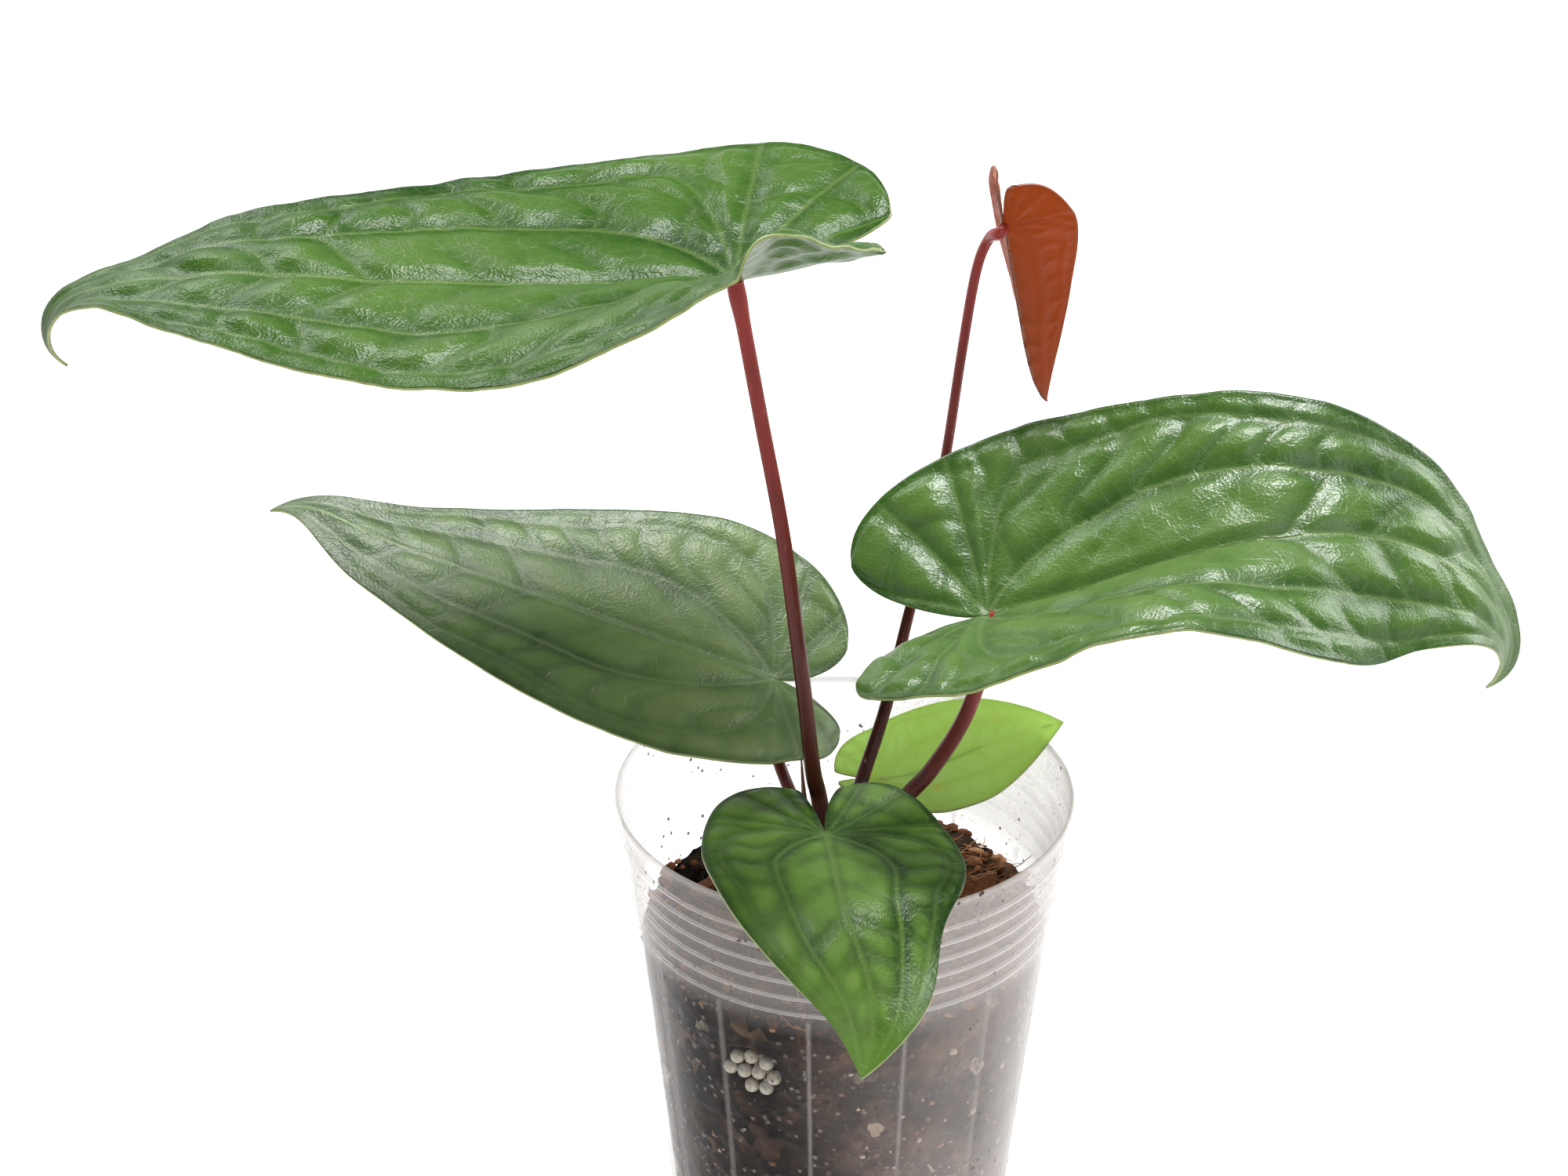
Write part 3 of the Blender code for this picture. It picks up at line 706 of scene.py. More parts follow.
def vein_field(leaf, x, y, inner, outer):
    """Relief (mm), vein line and crest strength on one half of the blade; the crest
    strength also paints shade into the leaf colour, darker in the grooves and near
    the rims.
    """
    scale = np.clip(leaf["half_width"] / 60, 0.3, 1.1)
    crest_and_shade = np.ones_like(x)
    line = np.zeros_like(x)
    for gap, strength, width in vein_gaps(leaf, x, y, outer):
        crest_and_shade *= 1 - strength * np.exp(-(gap / width) ** 2)
        line = np.maximum(line, strength ** 2 * np.exp(-(gap / 0.62) ** 2))
    to_rim = np.minimum(outer - y, np.where(x < 0, y - inner, 99.0))
    edge = np.clip(to_rim / (6 * scale), 0, 1)
    edge = edge * edge * (3 - 2 * edge)
    by_rib = np.clip(y / (5 * scale), 0, 1)
    # Painted shade too: the crest falls off towards the rims and the midrib.
    crest_and_shade = crest_and_shade * edge * (0.25 + 0.75 * by_rib)
    share = np.clip(x / leaf["length"], 0, 1)
    midrib = np.exp(-(y / 0.85) ** 2) * (x >= 0)
    lift = leaf["bulge"] * (crest_and_shade - 0.35) * edge
    lift = lift + 0.35 * midrib * (1 - 0.5 * share)
    hub = np.exp(-(np.hypot(x, y) / 2.2) ** 2)
    line = np.maximum(line * np.clip(to_rim / 3, 0, 1), midrib)
    return lift, np.maximum(line, hub), crest_and_shade


def build_blade(name, leaf, mats, stations=260):
    length, lobe = leaf["length"], leaf["lobe"]
    columns = int(26 + 0.72 * leaf["half_width"])
    cosine = (1 - np.cos(np.linspace(0, math.pi, stations))) / 2
    x_line = -lobe + (length + lobe) * (0.4 * cosine
                                        + 0.6 * np.linspace(0, 1, stations))
    x_line[np.argmin(np.abs(x_line))] = 0.0
    verts, lines, crest_shades, faces = [], [], [], []
    for side in (1, -1):
        base = len(verts)
        inner, outer = blade_outline(leaf, x_line, side)
        for v in np.linspace(0, 1, columns) ** 1.12:
            y = inner + (outer - inner) * v
            place, normal = bent(leaf, x_line, y, side)
            lift, line, crest_and_shade = vein_field(leaf, x_line, y, inner, outer)
            flat = np.stack([x_line, y * side, np.zeros_like(y)], 1)
            lump = soft_noise(flat, 0.11, leaf["seed"])
            small = soft_noise(flat, 0.33, leaf["seed"] + 3)
            grow = np.clip((outer - inner) / 15, 0, 1) * np.clip(y / 8, 0, 1)
            lift = lift + grow * leaf["bulge"] * (0.4 * lump + 0.08 * small)
            verts.extend((place + normal * lift[:, None]) * MM)
            lines.extend(line)
            # The crest goes to the material as painted shade, darker in the grooves.
            crest_shades.extend(np.clip(crest_and_shade + 0.25 * lump, 0, 1))
        for j in range(columns - 1):
            for i in range(stations - 1):
                a = base + j * stations + i
                b = a + stations
                quad = (a, a + 1, b + 1, b)
                faces.append(quad if side > 0 else quad[::-1])
    mesh = mesh_of(name, verts, faces, {"vein": lines, "crest_and_shade": crest_shades,
                                        "under": [0.0] * len(verts)})
    bm = bmesh.new()
    bm.from_mesh(mesh)
    bmesh.ops.remove_doubles(bm, verts=bm.verts, dist=0.02 * MM)
    bmesh.ops.dissolve_degenerate(bm, edges=bm.edges, dist=0.01 * MM)
    bm.normal_update()
    under = bm.verts.layers.float["under"]
    top = list(bm.faces)
    normals = {v: v.normal.copy() for v in bm.verts}
    rim_edges = [e for e in bm.edges if e.is_boundary]
    copy = bmesh.ops.duplicate(bm, geom=list(bm.verts) + list(bm.edges) + top)
    twin = {a: b for a, b in copy["vert_map"].items()}
    half = BLADE * MM / 2
    for v, normal in normals.items():
        other = twin[v]
        v.co = v.co + normal * half
        other.co = other.co - normal * half
        other[under] = 1.0
    flipped = [g for g in copy["geom"] if isinstance(g, bmesh.types.BMFace)]
    bmesh.ops.reverse_faces(bm, faces=flipped)
    for e in rim_edges:
        loop = next(l for l in e.link_faces[0].loops if l.edge == e)
        a, b = loop.vert, loop.link_loop_next.vert
        face = bm.faces.new((b, a, twin[a], twin[b]))
        face.material_index = 1
        face.smooth = True
    bm.normal_update()
    bm.to_mesh(mesh)
    bm.free()
    return new_piece(name, mesh, mats, (name,))


def build_petiole(name, spec, leaf, mat):
    """Stalk with a sheathing foot and a slightly swollen top under the blade."""
    point, _, up, _ = midrib_frame(leaf, np.array([0.0]))
    top = point[0] - up[0] * 0.25
    foot = spec["foot"] + (CROWN_TOP / MM - 2.5,)
    above = foot[:2] + (CROWN_TOP / MM + 1.5,)
    under = tuple(top - up[0] * 2.4)
    path = smooth_path((foot, above) + spec["via"] + (under, tuple(top)), 10)
    wide, slim = spec["radii"]
    run = np.concatenate([[0], np.cumsum(np.linalg.norm(np.diff(path, axis=0),
                                                        axis=1))])
    share = run / run[-1]
    radii = slim + (wide - slim) * (1 - share) ** 3
    radii = radii + 0.22 * slim * np.exp(-((run[-1] - run - 4) / 4.5) ** 2)
    radii = radii + 0.5 * np.exp(-(run / 5) ** 2)

    def section(a, s):
        return 1 - 0.10 * math.exp(-((a - math.pi / 2) / 0.5) ** 2) \
            + 0.02 * math.sin(3 * a + 9 * s)

    verts, faces, _ = rod(path, radii, 20, section)
    rise = [float(s) for s in share for _ in range(20)]
    mesh = mesh_of(name, np.array(verts) * MM, faces, {"rise": rise})
    return new_piece(name, mesh, [mat], (name,))


# ---- pot
def wall_radius(z):
    slope = (WALL_TOP_RADIUS - BASE_RADIUS) / BAND_BOTTOM
    return BASE_RADIUS + slope * z


def round_step(profile, z, out):
    """One stacking ring: a small rounded step in the wall."""
    for dz, grow in ((0.7, 0.95), (0.35, 1.0), (0.1, 0.8), (-0.2, 0.35),
                     (-0.5, 0.08)):
        r = wall_radius(z + dz * MM) + RING_STEP * grow
        profile.append((r - out, z + dz * MM))


def build_pot(mat, sides=224):
    band = BAND_BOTTOM
    outer = [(RIM_RADIUS - 0.75 * WALL, POT_HEIGHT - 0.05 * MM),
             (RIM_RADIUS - 0.4 * WALL, POT_HEIGHT),
             (RIM_RADIUS - 0.12 * MM, POT_HEIGHT - 0.2 * MM),
             (RIM_RADIUS, POT_HEIGHT - 0.6 * MM),
             (RIM_RADIUS - 0.05 * MM, POT_HEIGHT - 1.4 * MM),
             (RIM_RADIUS - 0.4 * MM, POT_HEIGHT - 2.2 * MM),
             (BAND_BOTTOM_RADIUS - 0.15 * MM, band + 4 * MM),
             (BAND_BOTTOM_RADIUS, band + 0.9 * MM),
             (BAND_BOTTOM_RADIUS - 0.15 * MM, band + 0.2 * MM),
             (WALL_TOP_RADIUS + 0.2 * MM, band - 0.35 * MM),
             (WALL_TOP_RADIUS - 0.05 * MM, band - 1.1 * MM)]
    for i in range(RINGS):
        round_step(outer, band - (i + 1) * RING_PITCH, 0.0)
    lowest = LOWEST_RING - 4 * MM
    for z in np.linspace(lowest, 2.2 * MM, 12):
        outer.append((wall_radius(z), z))
    outer += [(wall_radius(0) - 0.1 * MM, 1.1 * MM),
              (BASE_RADIUS - 0.5 * MM, 0.35 * MM), (BASE_RADIUS - 1.3 * MM, 0.0),
              (DRAIN_CIRCLE + 9 * MM, 0.0)]
    low = [(r, 0.0) for r in (DRAIN_CIRCLE + 4 * MM, DRAIN_CIRCLE, DRAIN_CIRCLE
                              - 4 * MM, 14 * MM, 5 * MM)]
    high = [(r, FLOOR) for r, _ in reversed(low)]
    inner = [(DRAIN_CIRCLE + 9 * MM, FLOOR), (BASE_RADIUS - WALL - 1.4 * MM, FLOOR),
             (BASE_RADIUS - WALL - 0.5 * MM, 1.7 * MM),
             (wall_radius(3 * MM) - WALL, 3 * MM)]
    for z in np.linspace(12 * MM, lowest, 10):
        inner.append((wall_radius(z) - WALL, z))
    for i in reversed(range(RINGS)):
        ring = []
        round_step(ring, band - (i + 1) * RING_PITCH, WALL)
        inner += ring[::-1]
    inner += [(WALL_TOP_RADIUS - WALL, band - 0.9 * MM),
              (BAND_BOTTOM_RADIUS - WALL - 0.2 * MM, band + 0.3 * MM),
              (BAND_BOTTOM_RADIUS - WALL, band + 1.2 * MM),
              (RIM_RADIUS - WALL - 0.35 * MM, POT_HEIGHT - 2.2 * MM),
              (RIM_RADIUS - WALL, POT_HEIGHT - 0.7 * MM)]
    profile = outer + low + high + inner
    verts, faces = [], []
    ribs_top = LOWEST_RING - 1 * MM
    for j, (r, z) in enumerate(profile):
        for k in range(sides):
            a = 2 * math.pi * k / sides
            rr = r
            if z < ribs_top and r > BASE_RADIUS - 3 * MM and z > 1.5 * MM:
                turn = (a - RIB_PHASE) * RIBS / (2 * math.pi)
                off = abs(turn - round(turn)) * 2 * math.pi / RIBS
                fade = min(1.0, (ribs_top - z) / (6 * MM))
                rr = r - 0.35 * MM * math.exp(-(off * r / (1.0 * MM)) ** 2) * fade
            verts.append(polar(rr, a, z))
    rings = len(profile)
    split = len(outer) + len(low) - 1
    for j in range(rings):
        nxt = (j + 1) % rings
        if j == split:
            continue
        for k in range(sides):
            n = (k + 1) % sides
            faces.append((j * sides + k, j * sides + n,
                          nxt * sides + n, nxt * sides + k))
    for j, z in ((split, 0.0), (split + 1, FLOOR)):
        centre = len(verts)
        verts.append((0.0, 0.0, z))
        for k in range(sides):
            n = (k + 1) % sides
            tri = (j * sides + k, j * sides + n, centre)
            faces.append(tri if z == 0.0 else tri[::-1])
    mesh = mesh_of("pot", verts, faces)
    weld(mesh, 0.002 * MM)
    pot = new_piece("pot", mesh, [mat], ("pot",))
    for k in range(DRAIN_HOLES):
        angle = 2 * math.pi * (k + 0.5) / DRAIN_HOLES
        bm = bmesh.new()
        bmesh.ops.create_cone(bm, cap_ends=True, segments=28,
                              radius1=DRAIN_RADIUS, radius2=DRAIN_RADIUS,
                              depth=6 * MM)
        bmesh.ops.translate(bm, verts=bm.verts,
                            vec=polar(DRAIN_CIRCLE, angle, 0))
        cutter = bpy.data.objects.new("drain", mesh_from(bm, "drain"))
        SCENE.collection.objects.link(cutter)
        cut_and_drop(pot, cutter)
    return pot


def cut_and_drop(ob, cutter):
    """Cut once, keep the resulting mesh and remove the cutter."""
    mod = ob.modifiers.new("cut", "BOOLEAN")
    mod.operation = "DIFFERENCE"
    mod.solver = "EXACT"
    mod.object = cutter
    deps = bpy.context.evaluated_depsgraph_get()
    mesh = bpy.data.meshes.new_from_object(ob.evaluated_get(deps))
    ob.modifiers.clear()
    old = ob.data
    ob.data = mesh
    mesh.name = old.name
    bpy.data.meshes.remove(old)
    bpy.data.objects.remove(cutter, do_unlink=True)


# ---- potting mix
def mix_height(x, y):
    dx = x - MOUND_CENTRE[0]
    dy = y - MOUND_CENTRE[1]
    rise = MOUND * math.exp(-(dx * dx + dy * dy) / (2 * MOUND_SPREAD ** 2))
    lumps = (1.0 * math.sin(x / MM * 0.29 + 1.1) * math.cos(y / MM * 0.23)
             + 0.6 * math.sin(x / MM * 0.51 - y / MM * 0.43)) * MM
    edge = min(1.0, (0.055 - math.hypot(x, y)) / (12 * MM) + 0.25)
    return MIX_EDGE_HEIGHT + rise + lumps * max(0.0, edge)


def rough(p, scale, octaves=3):
    return noise.fractal(Vector(p) / MM * scale, 0.9, 2.1, octaves)


def pellet_pocket(a, z):
    """How far the mix stands back from the wall round the pellets."""
    if not 70 * MM < z < 93 * MM:
        return 0.0
    turn = math.degrees(a) - 270
    near = min(math.hypot(math.radians(turn - at) * 53 * MM, z - level * MM)
               for at, level in PELLETS)
    return 4.2 * MM * min(1.0, max(0.0, (3.6 * MM - near) / (1.2 * MM)))


def build_mix(mat):
    """Crumbly solid of mix: rough top, and crumbs pressed on the wall."""
    sides = 260
    verts = []
    wall_levels = np.linspace(FLOOR + 0.3 * MM, 96.5 * MM, 90)
    top_shares = np.linspace(0.985, 0.03, 64)
    for z in wall_levels:
        for k in range(sides):
            a = 2 * math.pi * k / sides
            r = wall_radius(z) - WALL - 0.25 * MM
            if z < 3 * MM:
                r -= 1.4 * MM
            p = polar(r, a, z)
            bite = rough(p, 0.3) * 0.9 + rough(p, 0.9, 2) * 0.5
            r -= max(0.0, bite + 0.25) * 1.3 * MM
            r -= pellet_pocket(a, z)
            verts.append(polar(r, a, z))
    for share in top_shares:
        for k in range(sides):
            a = 2 * math.pi * k / sides
            r = share * (wall_radius(96 * MM) - WALL - 0.3 * MM)
            x, y = r * math.cos(a), r * math.sin(a)
            z = mix_height(x, y)
            z += (rough((x, y, 0), 0.16) * 1.5 + rough((x, y, 1), 0.5, 3) * 1.0) * MM
            verts.append((x, y, min(z, 112 * MM)))
    rows = len(wall_levels) + len(top_shares)
    mesh = mesh_of("potting_mix", verts, tube_faces(rows, sides))
    return new_piece("potting_mix", mesh, [mat], ("potting_mix",))


def lump(centre, size, seed, turn):
    """One rough closed crumb made from a squashed icosphere."""
    bm = bmesh.new()
    bmesh.ops.create_icosphere(bm, subdivisions=1, radius=1.0)
    c, s = math.cos(turn[0]), math.sin(turn[0])
    tilt = turn[1]
    out = []
    for v in bm.verts:
        k = 1 + 0.45 * noise.noise(v.co * 1.7 + Vector((seed, seed * 2, 0)))
        x, y, z = (v.co[i] * size[i] * k for i in range(3))
        x, z = (x * math.cos(tilt) - z * math.sin(tilt),
                x * math.sin(tilt) + z * math.cos(tilt))
        out.append((centre[0] + c * x - s * y, centre[1] + s * x + c * y,
                    centre[2] + z))
    faces = [tuple(v.index for v in f.verts) for f in bm.faces]
    bm.free()
    return out, faces


def gather(name, parts, mat, nodes=(), smooth=True):
    """Join many small closed shapes, each with its own tone, in one piece."""
    verts, faces, tones = [], [], []
    for part_verts, part_faces, tone in parts:
        base = len(verts)
        verts.extend(part_verts)
        faces.extend(tuple(i + base for i in f) for f in part_faces)
        tones.extend([tone] * len(part_verts))
    mesh = mesh_of(name, verts, faces, {"tone": tones})
    return new_piece(name, mesh, [mat], nodes, smooth)


def scatter_crumbs():
    """Bark crumbs over the top of the mix."""
    parts = []
    for i in range(900):
        r = 53.5 * MM * math.sqrt(random.random())
        a = random.uniform(0, 2 * math.pi)
        x, y = r * math.cos(a), r * math.sin(a)
        size = random.choice((0.7, 0.9, 1.1, 1.5, 2.2)) * MM
        z = mix_height(x, y) + 0.4 * size
        if z > 113 * MM or math.hypot(x - CROWN_CENTRE[0], y) < 9 * MM:
            continue
        dims = (size * random.uniform(0.9, 1.8), size * random.uniform(0.6, 1),
                size * random.uniform(0.4, 0.8))
        v, f = lump((x, y, z), dims, i * 0.37, (random.uniform(0, 6.3),
                                               random.uniform(-0.5, 0.5)))
        reddish = 0.25 if x > 12 * MM else 0.0
        parts.append((v, f, min(1.0, random.random() ** 1.5 + reddish)))
    return parts


def strand(start, heading, length, radius, seed, lift=0.25):
    """A thin curling fibre that starts at a point and settles on the mix."""
    points = []
    p = np.array(start, float)
    h = heading
    climb = lift
    steps = 9
    for i in range(steps):
        points.append(p.copy())
        h += 0.5 * noise.noise(Vector((seed, i * 0.6, 1.0)))
        climb += 0.35 * noise.noise(Vector((seed, i * 0.5, 7.0))) - 0.05
        p = p + np.array((math.cos(h), math.sin(h), climb)) * length / steps
        r = math.hypot(p[0], p[1])
        if r > 54 * MM:
            p[:2] *= 54 * MM / r
        p[2] = max(p[2], mix_height(p[0], p[1]) + 0.2 * MM)
        p[2] = min(p[2], 121 * MM)
    radii = [radius * (1 - 0.6 * i / steps) for i in range(steps)]
    v, f, _ = rod(points, radii, 5)
    return v, f


def scatter_coir():
    parts = []
    for i in range(420):
        if i % 3 < 2:
            a = math.radians(random.gauss(-6, 24))
        else:
            a = random.uniform(0, 2 * math.pi)
        r = random.uniform(18, 52) * MM
        x, y = r * math.cos(a), r * math.sin(a)
        start = (x, y, mix_height(x, y) + random.uniform(0.1, 1.6) * MM)
        v, f = strand(start, random.uniform(0, 6.3), random.uniform(5, 16) * MM,
                      random.uniform(0.09, 0.24) * MM, i * 1.31,
                      random.uniform(0, 0.5))
        parts.append((v, f, random.uniform(0.3, 1.0)))
    return parts


def wall_bits():
    """Crumbs that show pressed against the inside of the clear wall."""
    parts = []
    for i in range(1500):
        a = random.uniform(0, 2 * math.pi)
        z = random.uniform(4, 95) * MM
        size = random.choice((0.5, 0.7, 0.9, 1.3)) * MM
        if 231 < math.degrees(a) < 253 and 73 * MM < z < 90 * MM:
            continue
        r = wall_radius(z) - WALL - 0.25 * MM - 0.45 * size
        place = polar(r, a, z)
        dims = (0.45 * size, size, size * random.uniform(0.6, 1.1))
        v, f = lump(place, dims, i * 0.53, (a, 0.0))
        right = math.cos(a) > -0.1
        parts.append((v, f, min(1.0, random.random() ** 2.2
                                + (0.32 if right else 0.0))))
    return parts


def build_roots(mat):
    """Thin roots that reach the wall low down at the front."""
    parts = []
    routes = (
        ((-104, 34), (-98, 27), (-94, 23), (-87, 25), (-80, 21), (-76, 14)),
        ((-112, 22), (-106, 17), (-100, 15), (-96, 9)),
        ((-64, 52), (-60, 44), (-63, 36), (-58, 27), (-60, 18)),
    )
    for route in routes:
        pts = []
        for angle, z in route:
            a = math.radians(angle)
            r = wall_radius(z * MM) - WALL - 1.0 * MM
            pts.append((r * math.cos(a) / MM, r * math.sin(a) / MM, z))
        path = smooth_path(pts, 6) * MM
        v, f, _ = rod(path, [0.55 * MM] * len(path), 8)
        parts.append((v, f, random.uniform(0.6, 1.0)))
    return gather("roots", parts, mat)


# ---- small pieces
PELLETS = ((-33, 85), (-28.2, 86.6), (-23.4, 85.8), (-30.8, 81), (-26, 82),
           (-21.2, 81.4), (-28.6, 76.8), (-23.8, 77.4), (-35.6, 80.6))
PELLET_RADIUS = 1.9 * MM


def build_pellets(mat):
    for k, (angle, z) in enumerate(PELLETS):
        a = math.radians(angle)
        r = wall_radius(z * MM) - WALL - 0.3 * MM - PELLET_RADIUS
        bm = bmesh.new()
        bmesh.ops.create_icosphere(bm, subdivisions=4, radius=PELLET_RADIUS)
        for v in bm.verts:
            v.co *= 1 + 0.05 * noise.noise(v.co / PELLET_RADIUS * 1.3
                                           + Vector((k, 0, 0)))
        bmesh.ops.translate(bm, verts=bm.verts,
                            vec=(r * math.sin(a), -r * math.cos(a), z * MM))
        name = f"pellet_{k + 1}"
        new_piece(name, mesh_from(bm, name), [mat], (name,))


BARK_CHIPS = {
    "bark_chip_1": ((34, -4, 110), (14, 5, 2.6), (8, -14, 20)),
    "bark_chip_2": ((27, 14, 112), (12, 4, 2.4), (-10, 8, 75)),
    "bark_chip_3": ((-30, -14, 107.2), (15, 4, 2.2), (6, 12, -20)),
    "bark_chip_4": ((-36, 4, 106.6), (11, 5, 2.4), (-8, 10, 60)),
}


def build_chip(name, spec, mat):
    """Rough splinter of bark: ragged ends and a split, fibrous face."""
    place, size, turn = spec
    bm = bmesh.new()
    bmesh.ops.create_cube(bm, size=1.0)
    bmesh.ops.subdivide_edges(bm, edges=bm.edges, cuts=9, use_grid_fill=True)
    for v in bm.verts:
        p = v.co.copy()
        narrow = 1 - 0.3 * (p.x + 0.5)
        x = p.x * size[0]
        y = p.y * size[1] * narrow
        z = p.z * size[2] * narrow
        grain = noise.noise(Vector((x * 0.15, y * 1.6, z * 1.6 + size[0])))
        ends = noise.noise(Vector((y * 2.0, z * 2.0, size[1])))
        x += (abs(p.x) > 0.49) * ends * 1.1 - 0.3 * np.sign(p.x)
        y += 0.28 * grain
        z += 0.28 * noise.noise(Vector((x * 0.25, y * 1.1, 5.0)))
        v.co = (x * 0.95 * MM, y * 0.9 * MM, z * 0.85 * MM)
    mesh = mesh_from(bm, name)
    tone = mesh.attributes.new("tone", "FLOAT", "POINT")
    tone.data.foreach_set("value", np.full(len(mesh.vertices), 0.55, np.float32))
    ob = new_piece(name, mesh, [mat], (name,))
    ob.location = tuple(c * MM for c in place)
    ob.rotation_euler = tuple(math.radians(t) for t in turn)


SHEATHS = {
    "sheath_brown": ((-8, 11, 112), (-11.3, 12, 143), 1.5),
    "sheath_red": ((-1.5, -0.6, 115.6), (-2.4, -2.2, 133), 1.3),
}


def build_sheath(name, spec, mat):
    """Dried sheath: a papery strip rolled along its length."""
    foot, tip, half = spec
    a, b = np.array(foot, float), np.array(tip, float)
    mid = (a + b) / 2 + np.array((-0.6, 0.5, 0))
    path = smooth_path((tuple(a), tuple(mid), tuple(b)), 14)
    n = len(path)
    radii = [half * (1 - 0.8 * (i / (n - 1)) ** 2) for i in range(n)]

    def section(angle, s):
        fold = 0.3 * math.sin(2 * angle + 1.5 * s)
        return 0.68 + fold + 0.1 * noise.noise(Vector((3 * s, angle, half)))

    verts, faces, share = rod(path, radii, 18, section)
    mesh = mesh_of(name, np.array(verts) * MM, faces, {"rise": share})
    return new_piece(name, mesh, [mat], (name,))


def build_crown(mat):
    """Short knobbly stem with the scars of shed leaves."""
    verts = []
    sides, rows = 72, 40
    for j in range(rows):
        t = j / (rows - 1)
        z = 97 * MM + t * 17.6 * MM
        for k in range(sides):
            a = 2 * math.pi * k / sides
            r = (7.6 - 1.9 * max(0, t - 0.72) ** 2 * 40) * MM
            scar = math.sin(t * 16 + 2.2 * math.sin(a + t * 3))
            r *= 0.93 + 0.05 * scar
            p = Vector((math.cos(a) * 2, math.sin(a) * 2, t * 5))
            r *= 1 + 0.07 * noise.noise(p * 1.5)
            verts.append((CROWN_CENTRE[0] + r * math.cos(a),
                          CROWN_CENTRE[1] + r * math.sin(a), z))
    mesh = mesh_of("stem_crown", verts, tube_faces(rows, sides),
                   {"rise": [0.05] * len(verts)})
    return new_piece("stem_crown", mesh, [mat], ("stem_crown",))


# ---- staging
def area_light(name, place, aim, size, power, colour=(1, 1, 1)):
    data = bpy.data.lights.new(name, "AREA")
    data.shape = "RECTANGLE"
    data.size, data.size_y = size
    data.energy = power
    data.color = colour
    ob = bpy.data.objects.new(name, data)
    ob.location = place
    ob.rotation_euler = (Vector(aim) - Vector(place)).to_track_quat("-Z", "Y") \
        .to_euler()
    SCENE.collection.objects.link(ob)
    return ob


HORIZON_GLOW = 0.98
CEILING_GLOW = 0.025
FLOOR_HALF = 40


def build_stage():
    """White sweep and horizon under a dim ceiling with four soft boxes."""
    world = bpy.data.worlds.new("studio")
    world.use_nodes = True
    tree = world.node_tree
    back = tree.nodes["Background"]
    coord = tree.nodes.new("ShaderNodeTexCoord")
    split = tree.nodes.new("ShaderNodeSeparateXYZ")
    tree.links.new(coord.outputs["Generated"], split.inputs[0])
    level = tree.nodes.new("ShaderNodeMapRange")
    for k, limit in enumerate((0.19, 0.27, HORIZON_GLOW, CEILING_GLOW)):
        level.inputs[1 + k].default_value = limit
    back.inputs["Color"].default_value = (1.0, 1.0, 1.0, 1.0)
    tree.links.new(split.outputs["Z"], level.inputs["Value"])
    tree.links.new(level.outputs["Result"], back.inputs["Strength"])
    SCENE.world = world
    area_light("key", (0.02, 0.25, 1.12), (0, 0, 0.22), (0.34, 0.3), 13)
    area_light("back_left", (-0.42, 0.62, 0.78), (0.02, 0, 0.22), (0.3, 0.3), 2.2)
    area_light("back_right", (0.8, 0.42, 0.62), (0.1, 0, 0.18), (0.6, 0.5), 6)
    area_light("front_fill", (0.25, -0.75, 0.85), (0, 0, 0.17), (0.7, 0.5), 3.2)
    corners = [(x * FLOOR_HALF, y * FLOOR_HALF, 0)
               for x, y in ((-1, -1), (1, -1), (1, 1), (-1, 1))]
    mesh = mesh_of("floor", corners, [(0, 1, 2, 3)])
    mesh.materials.append(floor_material())
    floor = bpy.data.objects.new("floor", mesh)
    floor.location.z = -0.0003
    SCENE.collection.objects.link(floor)


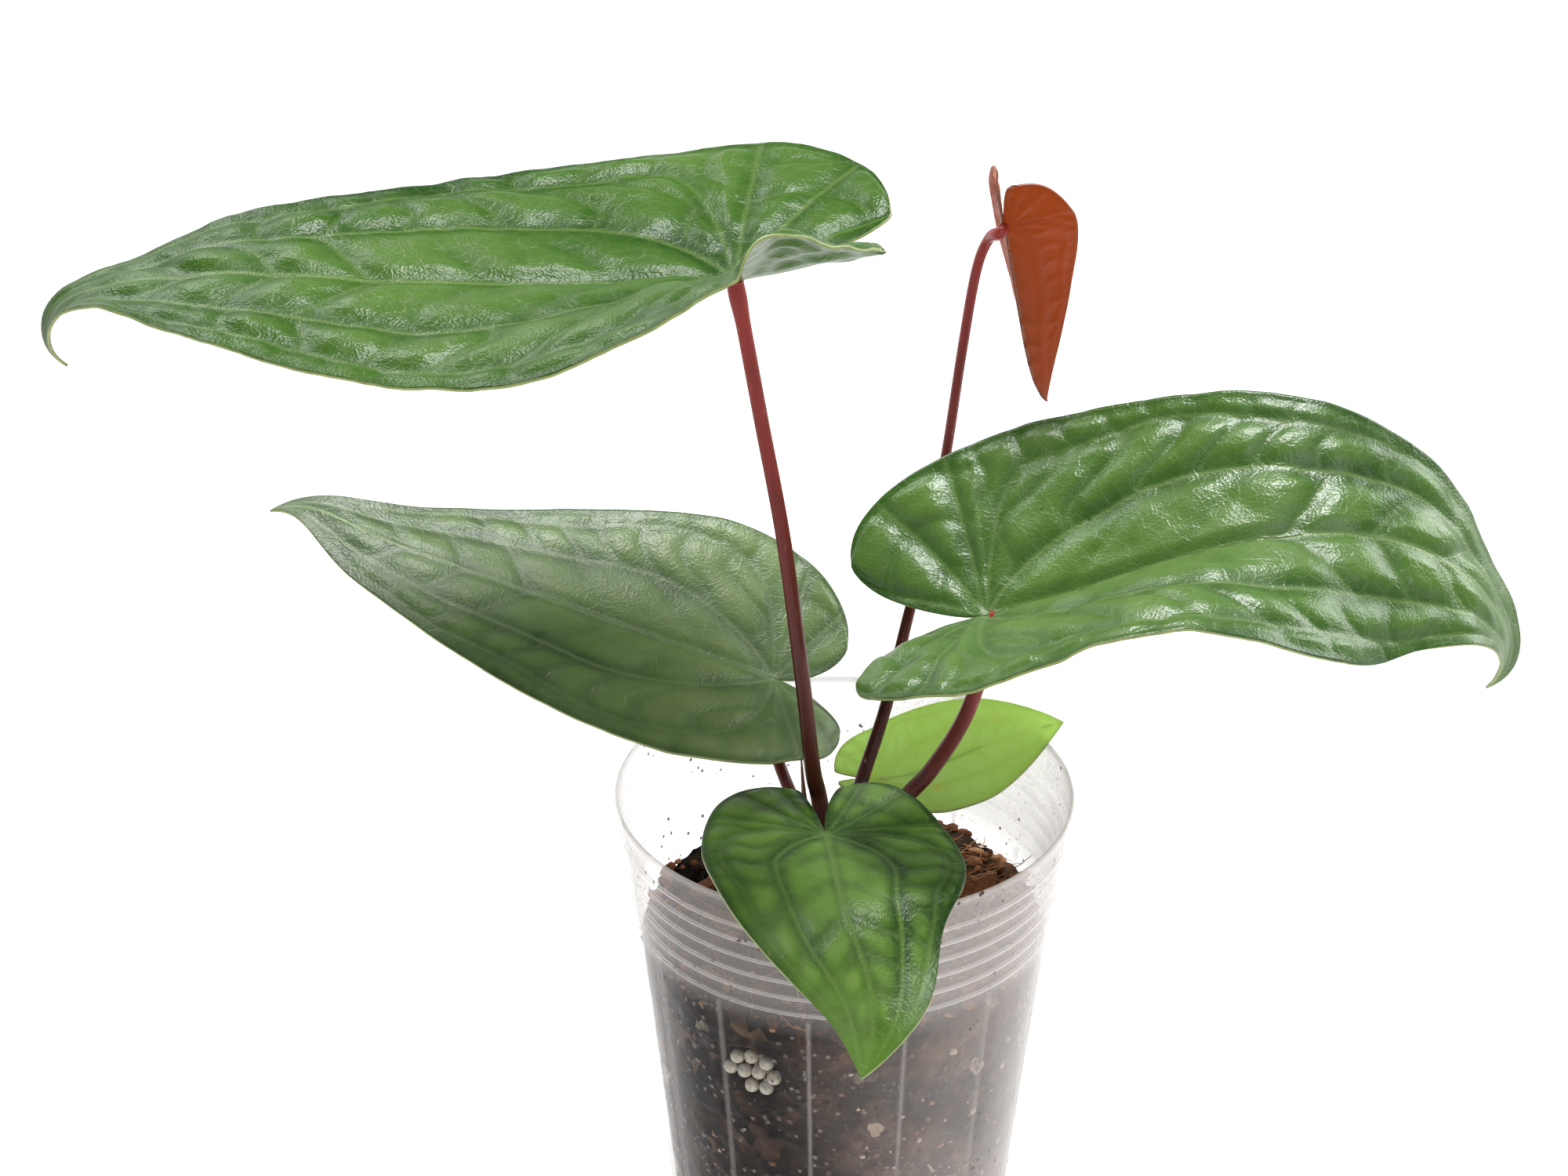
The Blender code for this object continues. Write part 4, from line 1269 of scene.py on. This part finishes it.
# ---- build
def build():
    green = leaf_material(
        "leaf_green", (0.013, 0.05, 0.005), (0.042, 0.108, 0.014),
        (0.085, 0.17, 0.03), (0.17, 0.26, 0.08), (0.08, 0.15, 0.04),
        0.1, (0.2, 0.42, 0.04), rough=(0.24, 0.36), gloss=0.16)
    deep = leaf_material(
        "leaf_deep_green", (0.018, 0.065, 0.006), (0.065, 0.15, 0.022),
        (0.13, 0.23, 0.05), (0.2, 0.3, 0.1), (0.08, 0.15, 0.05),
        0.08, (0.16, 0.36, 0.04), rough=(0.28, 0.42), gloss=0.55)
    grey_green = leaf_material(
        "leaf_grey_green", (0.02, 0.05, 0.01), (0.095, 0.165, 0.042),
        (0.18, 0.25, 0.085), (0.19, 0.27, 0.11), (0.07, 0.11, 0.045),
        0.06, (0.14, 0.28, 0.05), rough=(0.38, 0.5), gloss=0.6)
    # fade=True paints shade on the front leaf's upper part.
    fresh = leaf_material(
        "leaf_fresh_green", (0.02, 0.06, 0.008), (0.14, 0.27, 0.04),
        (0.36, 0.52, 0.13), (0.2, 0.34, 0.07), (0.12, 0.22, 0.05),
        0.16, (0.3, 0.6, 0.06), fade=True)
    lime = leaf_material(
        "leaf_lime", (0.3, 0.45, 0.08), (0.44, 0.66, 0.2), (0.58, 0.78, 0.32),
        (0.5, 0.6, 0.2), (0.34, 0.46, 0.12), 0.6, (0.78, 1.0, 0.42),
        spots=True, gloss=0.2)
    bronze = leaf_material(
        "leaf_bronze", (0.13, 0.026, 0.004), (0.17, 0.05, 0.01),
        (0.3, 0.11, 0.026), (0.45, 0.17, 0.1), (0.25, 0.055, 0.012),
        0.3, (0.9, 0.28, 0.03), gloss=0.15)
    rim = rim_material("leaf_rim", (0.3, 0.36, 0.12))
    rim_red = rim_material("leaf_rim_red", (0.3, 0.1, 0.06))
    shades = {"leaf_upper_left": (green, rim, "leaf_green"),
              "leaf_right": (deep, rim, "leaf_green"),
              "leaf_mid_left": (grey_green, rim, "leaf_green"),
              "leaf_front": (fresh, rim, "leaf_green"),
              "leaf_back_right": (lime, rim, "leaf_lime"),
              "leaf_new": (bronze, rim_red, "leaf_bronze")}
    stalk_mat = petiole_material()
    for name, leaf in LEAVES.items():
        mat, edge, slot = shades[name]
        build_blade(name, leaf, [mat, edge])
        stalk = name.replace("leaf", "petiole")
        build_petiole(stalk, PETIOLES[stalk], leaf, stalk_mat)
    build_crown(stalk_mat)
    build_pot(pot_material())
    build_mix(mix_material())
    bark_stops = [(0.0, (0.014, 0.007, 0.005)), (0.35, (0.09, 0.034, 0.017)),
                  (0.7, (0.27, 0.1, 0.045)), (1.0, (0.48, 0.25, 0.14))]
    bark = crumb_material("bark_crumbs", bark_stops)
    coir = crumb_material("coir_fibre", [
        (0.0, (0.08, 0.03, 0.014)), (0.5, (0.3, 0.11, 0.045)),
        (1.0, (0.55, 0.27, 0.14))])
    wall = crumb_material("wall_crumbs", [
        (0.0, (0.003, 0.002, 0.001)), (0.5, (0.03, 0.014, 0.008)),
        (0.85, (0.26, 0.12, 0.07)), (1.0, (0.62, 0.5, 0.38))])
    root = crumb_material("root_skin", [
        (0.0, (0.2, 0.15, 0.1)), (1.0, (0.6, 0.54, 0.42))], 0.6)
    gather("bark_crumbs", scatter_crumbs(), bark)
    gather("coir_fibres", scatter_coir(), coir)
    gather("wall_crumbs", wall_bits(), wall)
    build_roots(root)
    build_pellets(pellet_material())
    for name, spec in BARK_CHIPS.items():
        build_chip(name, spec, bark)
    dry = sheath_material()
    for name, spec in SHEATHS.items():
        build_sheath(name, spec, dry)
    build_stage()


build()
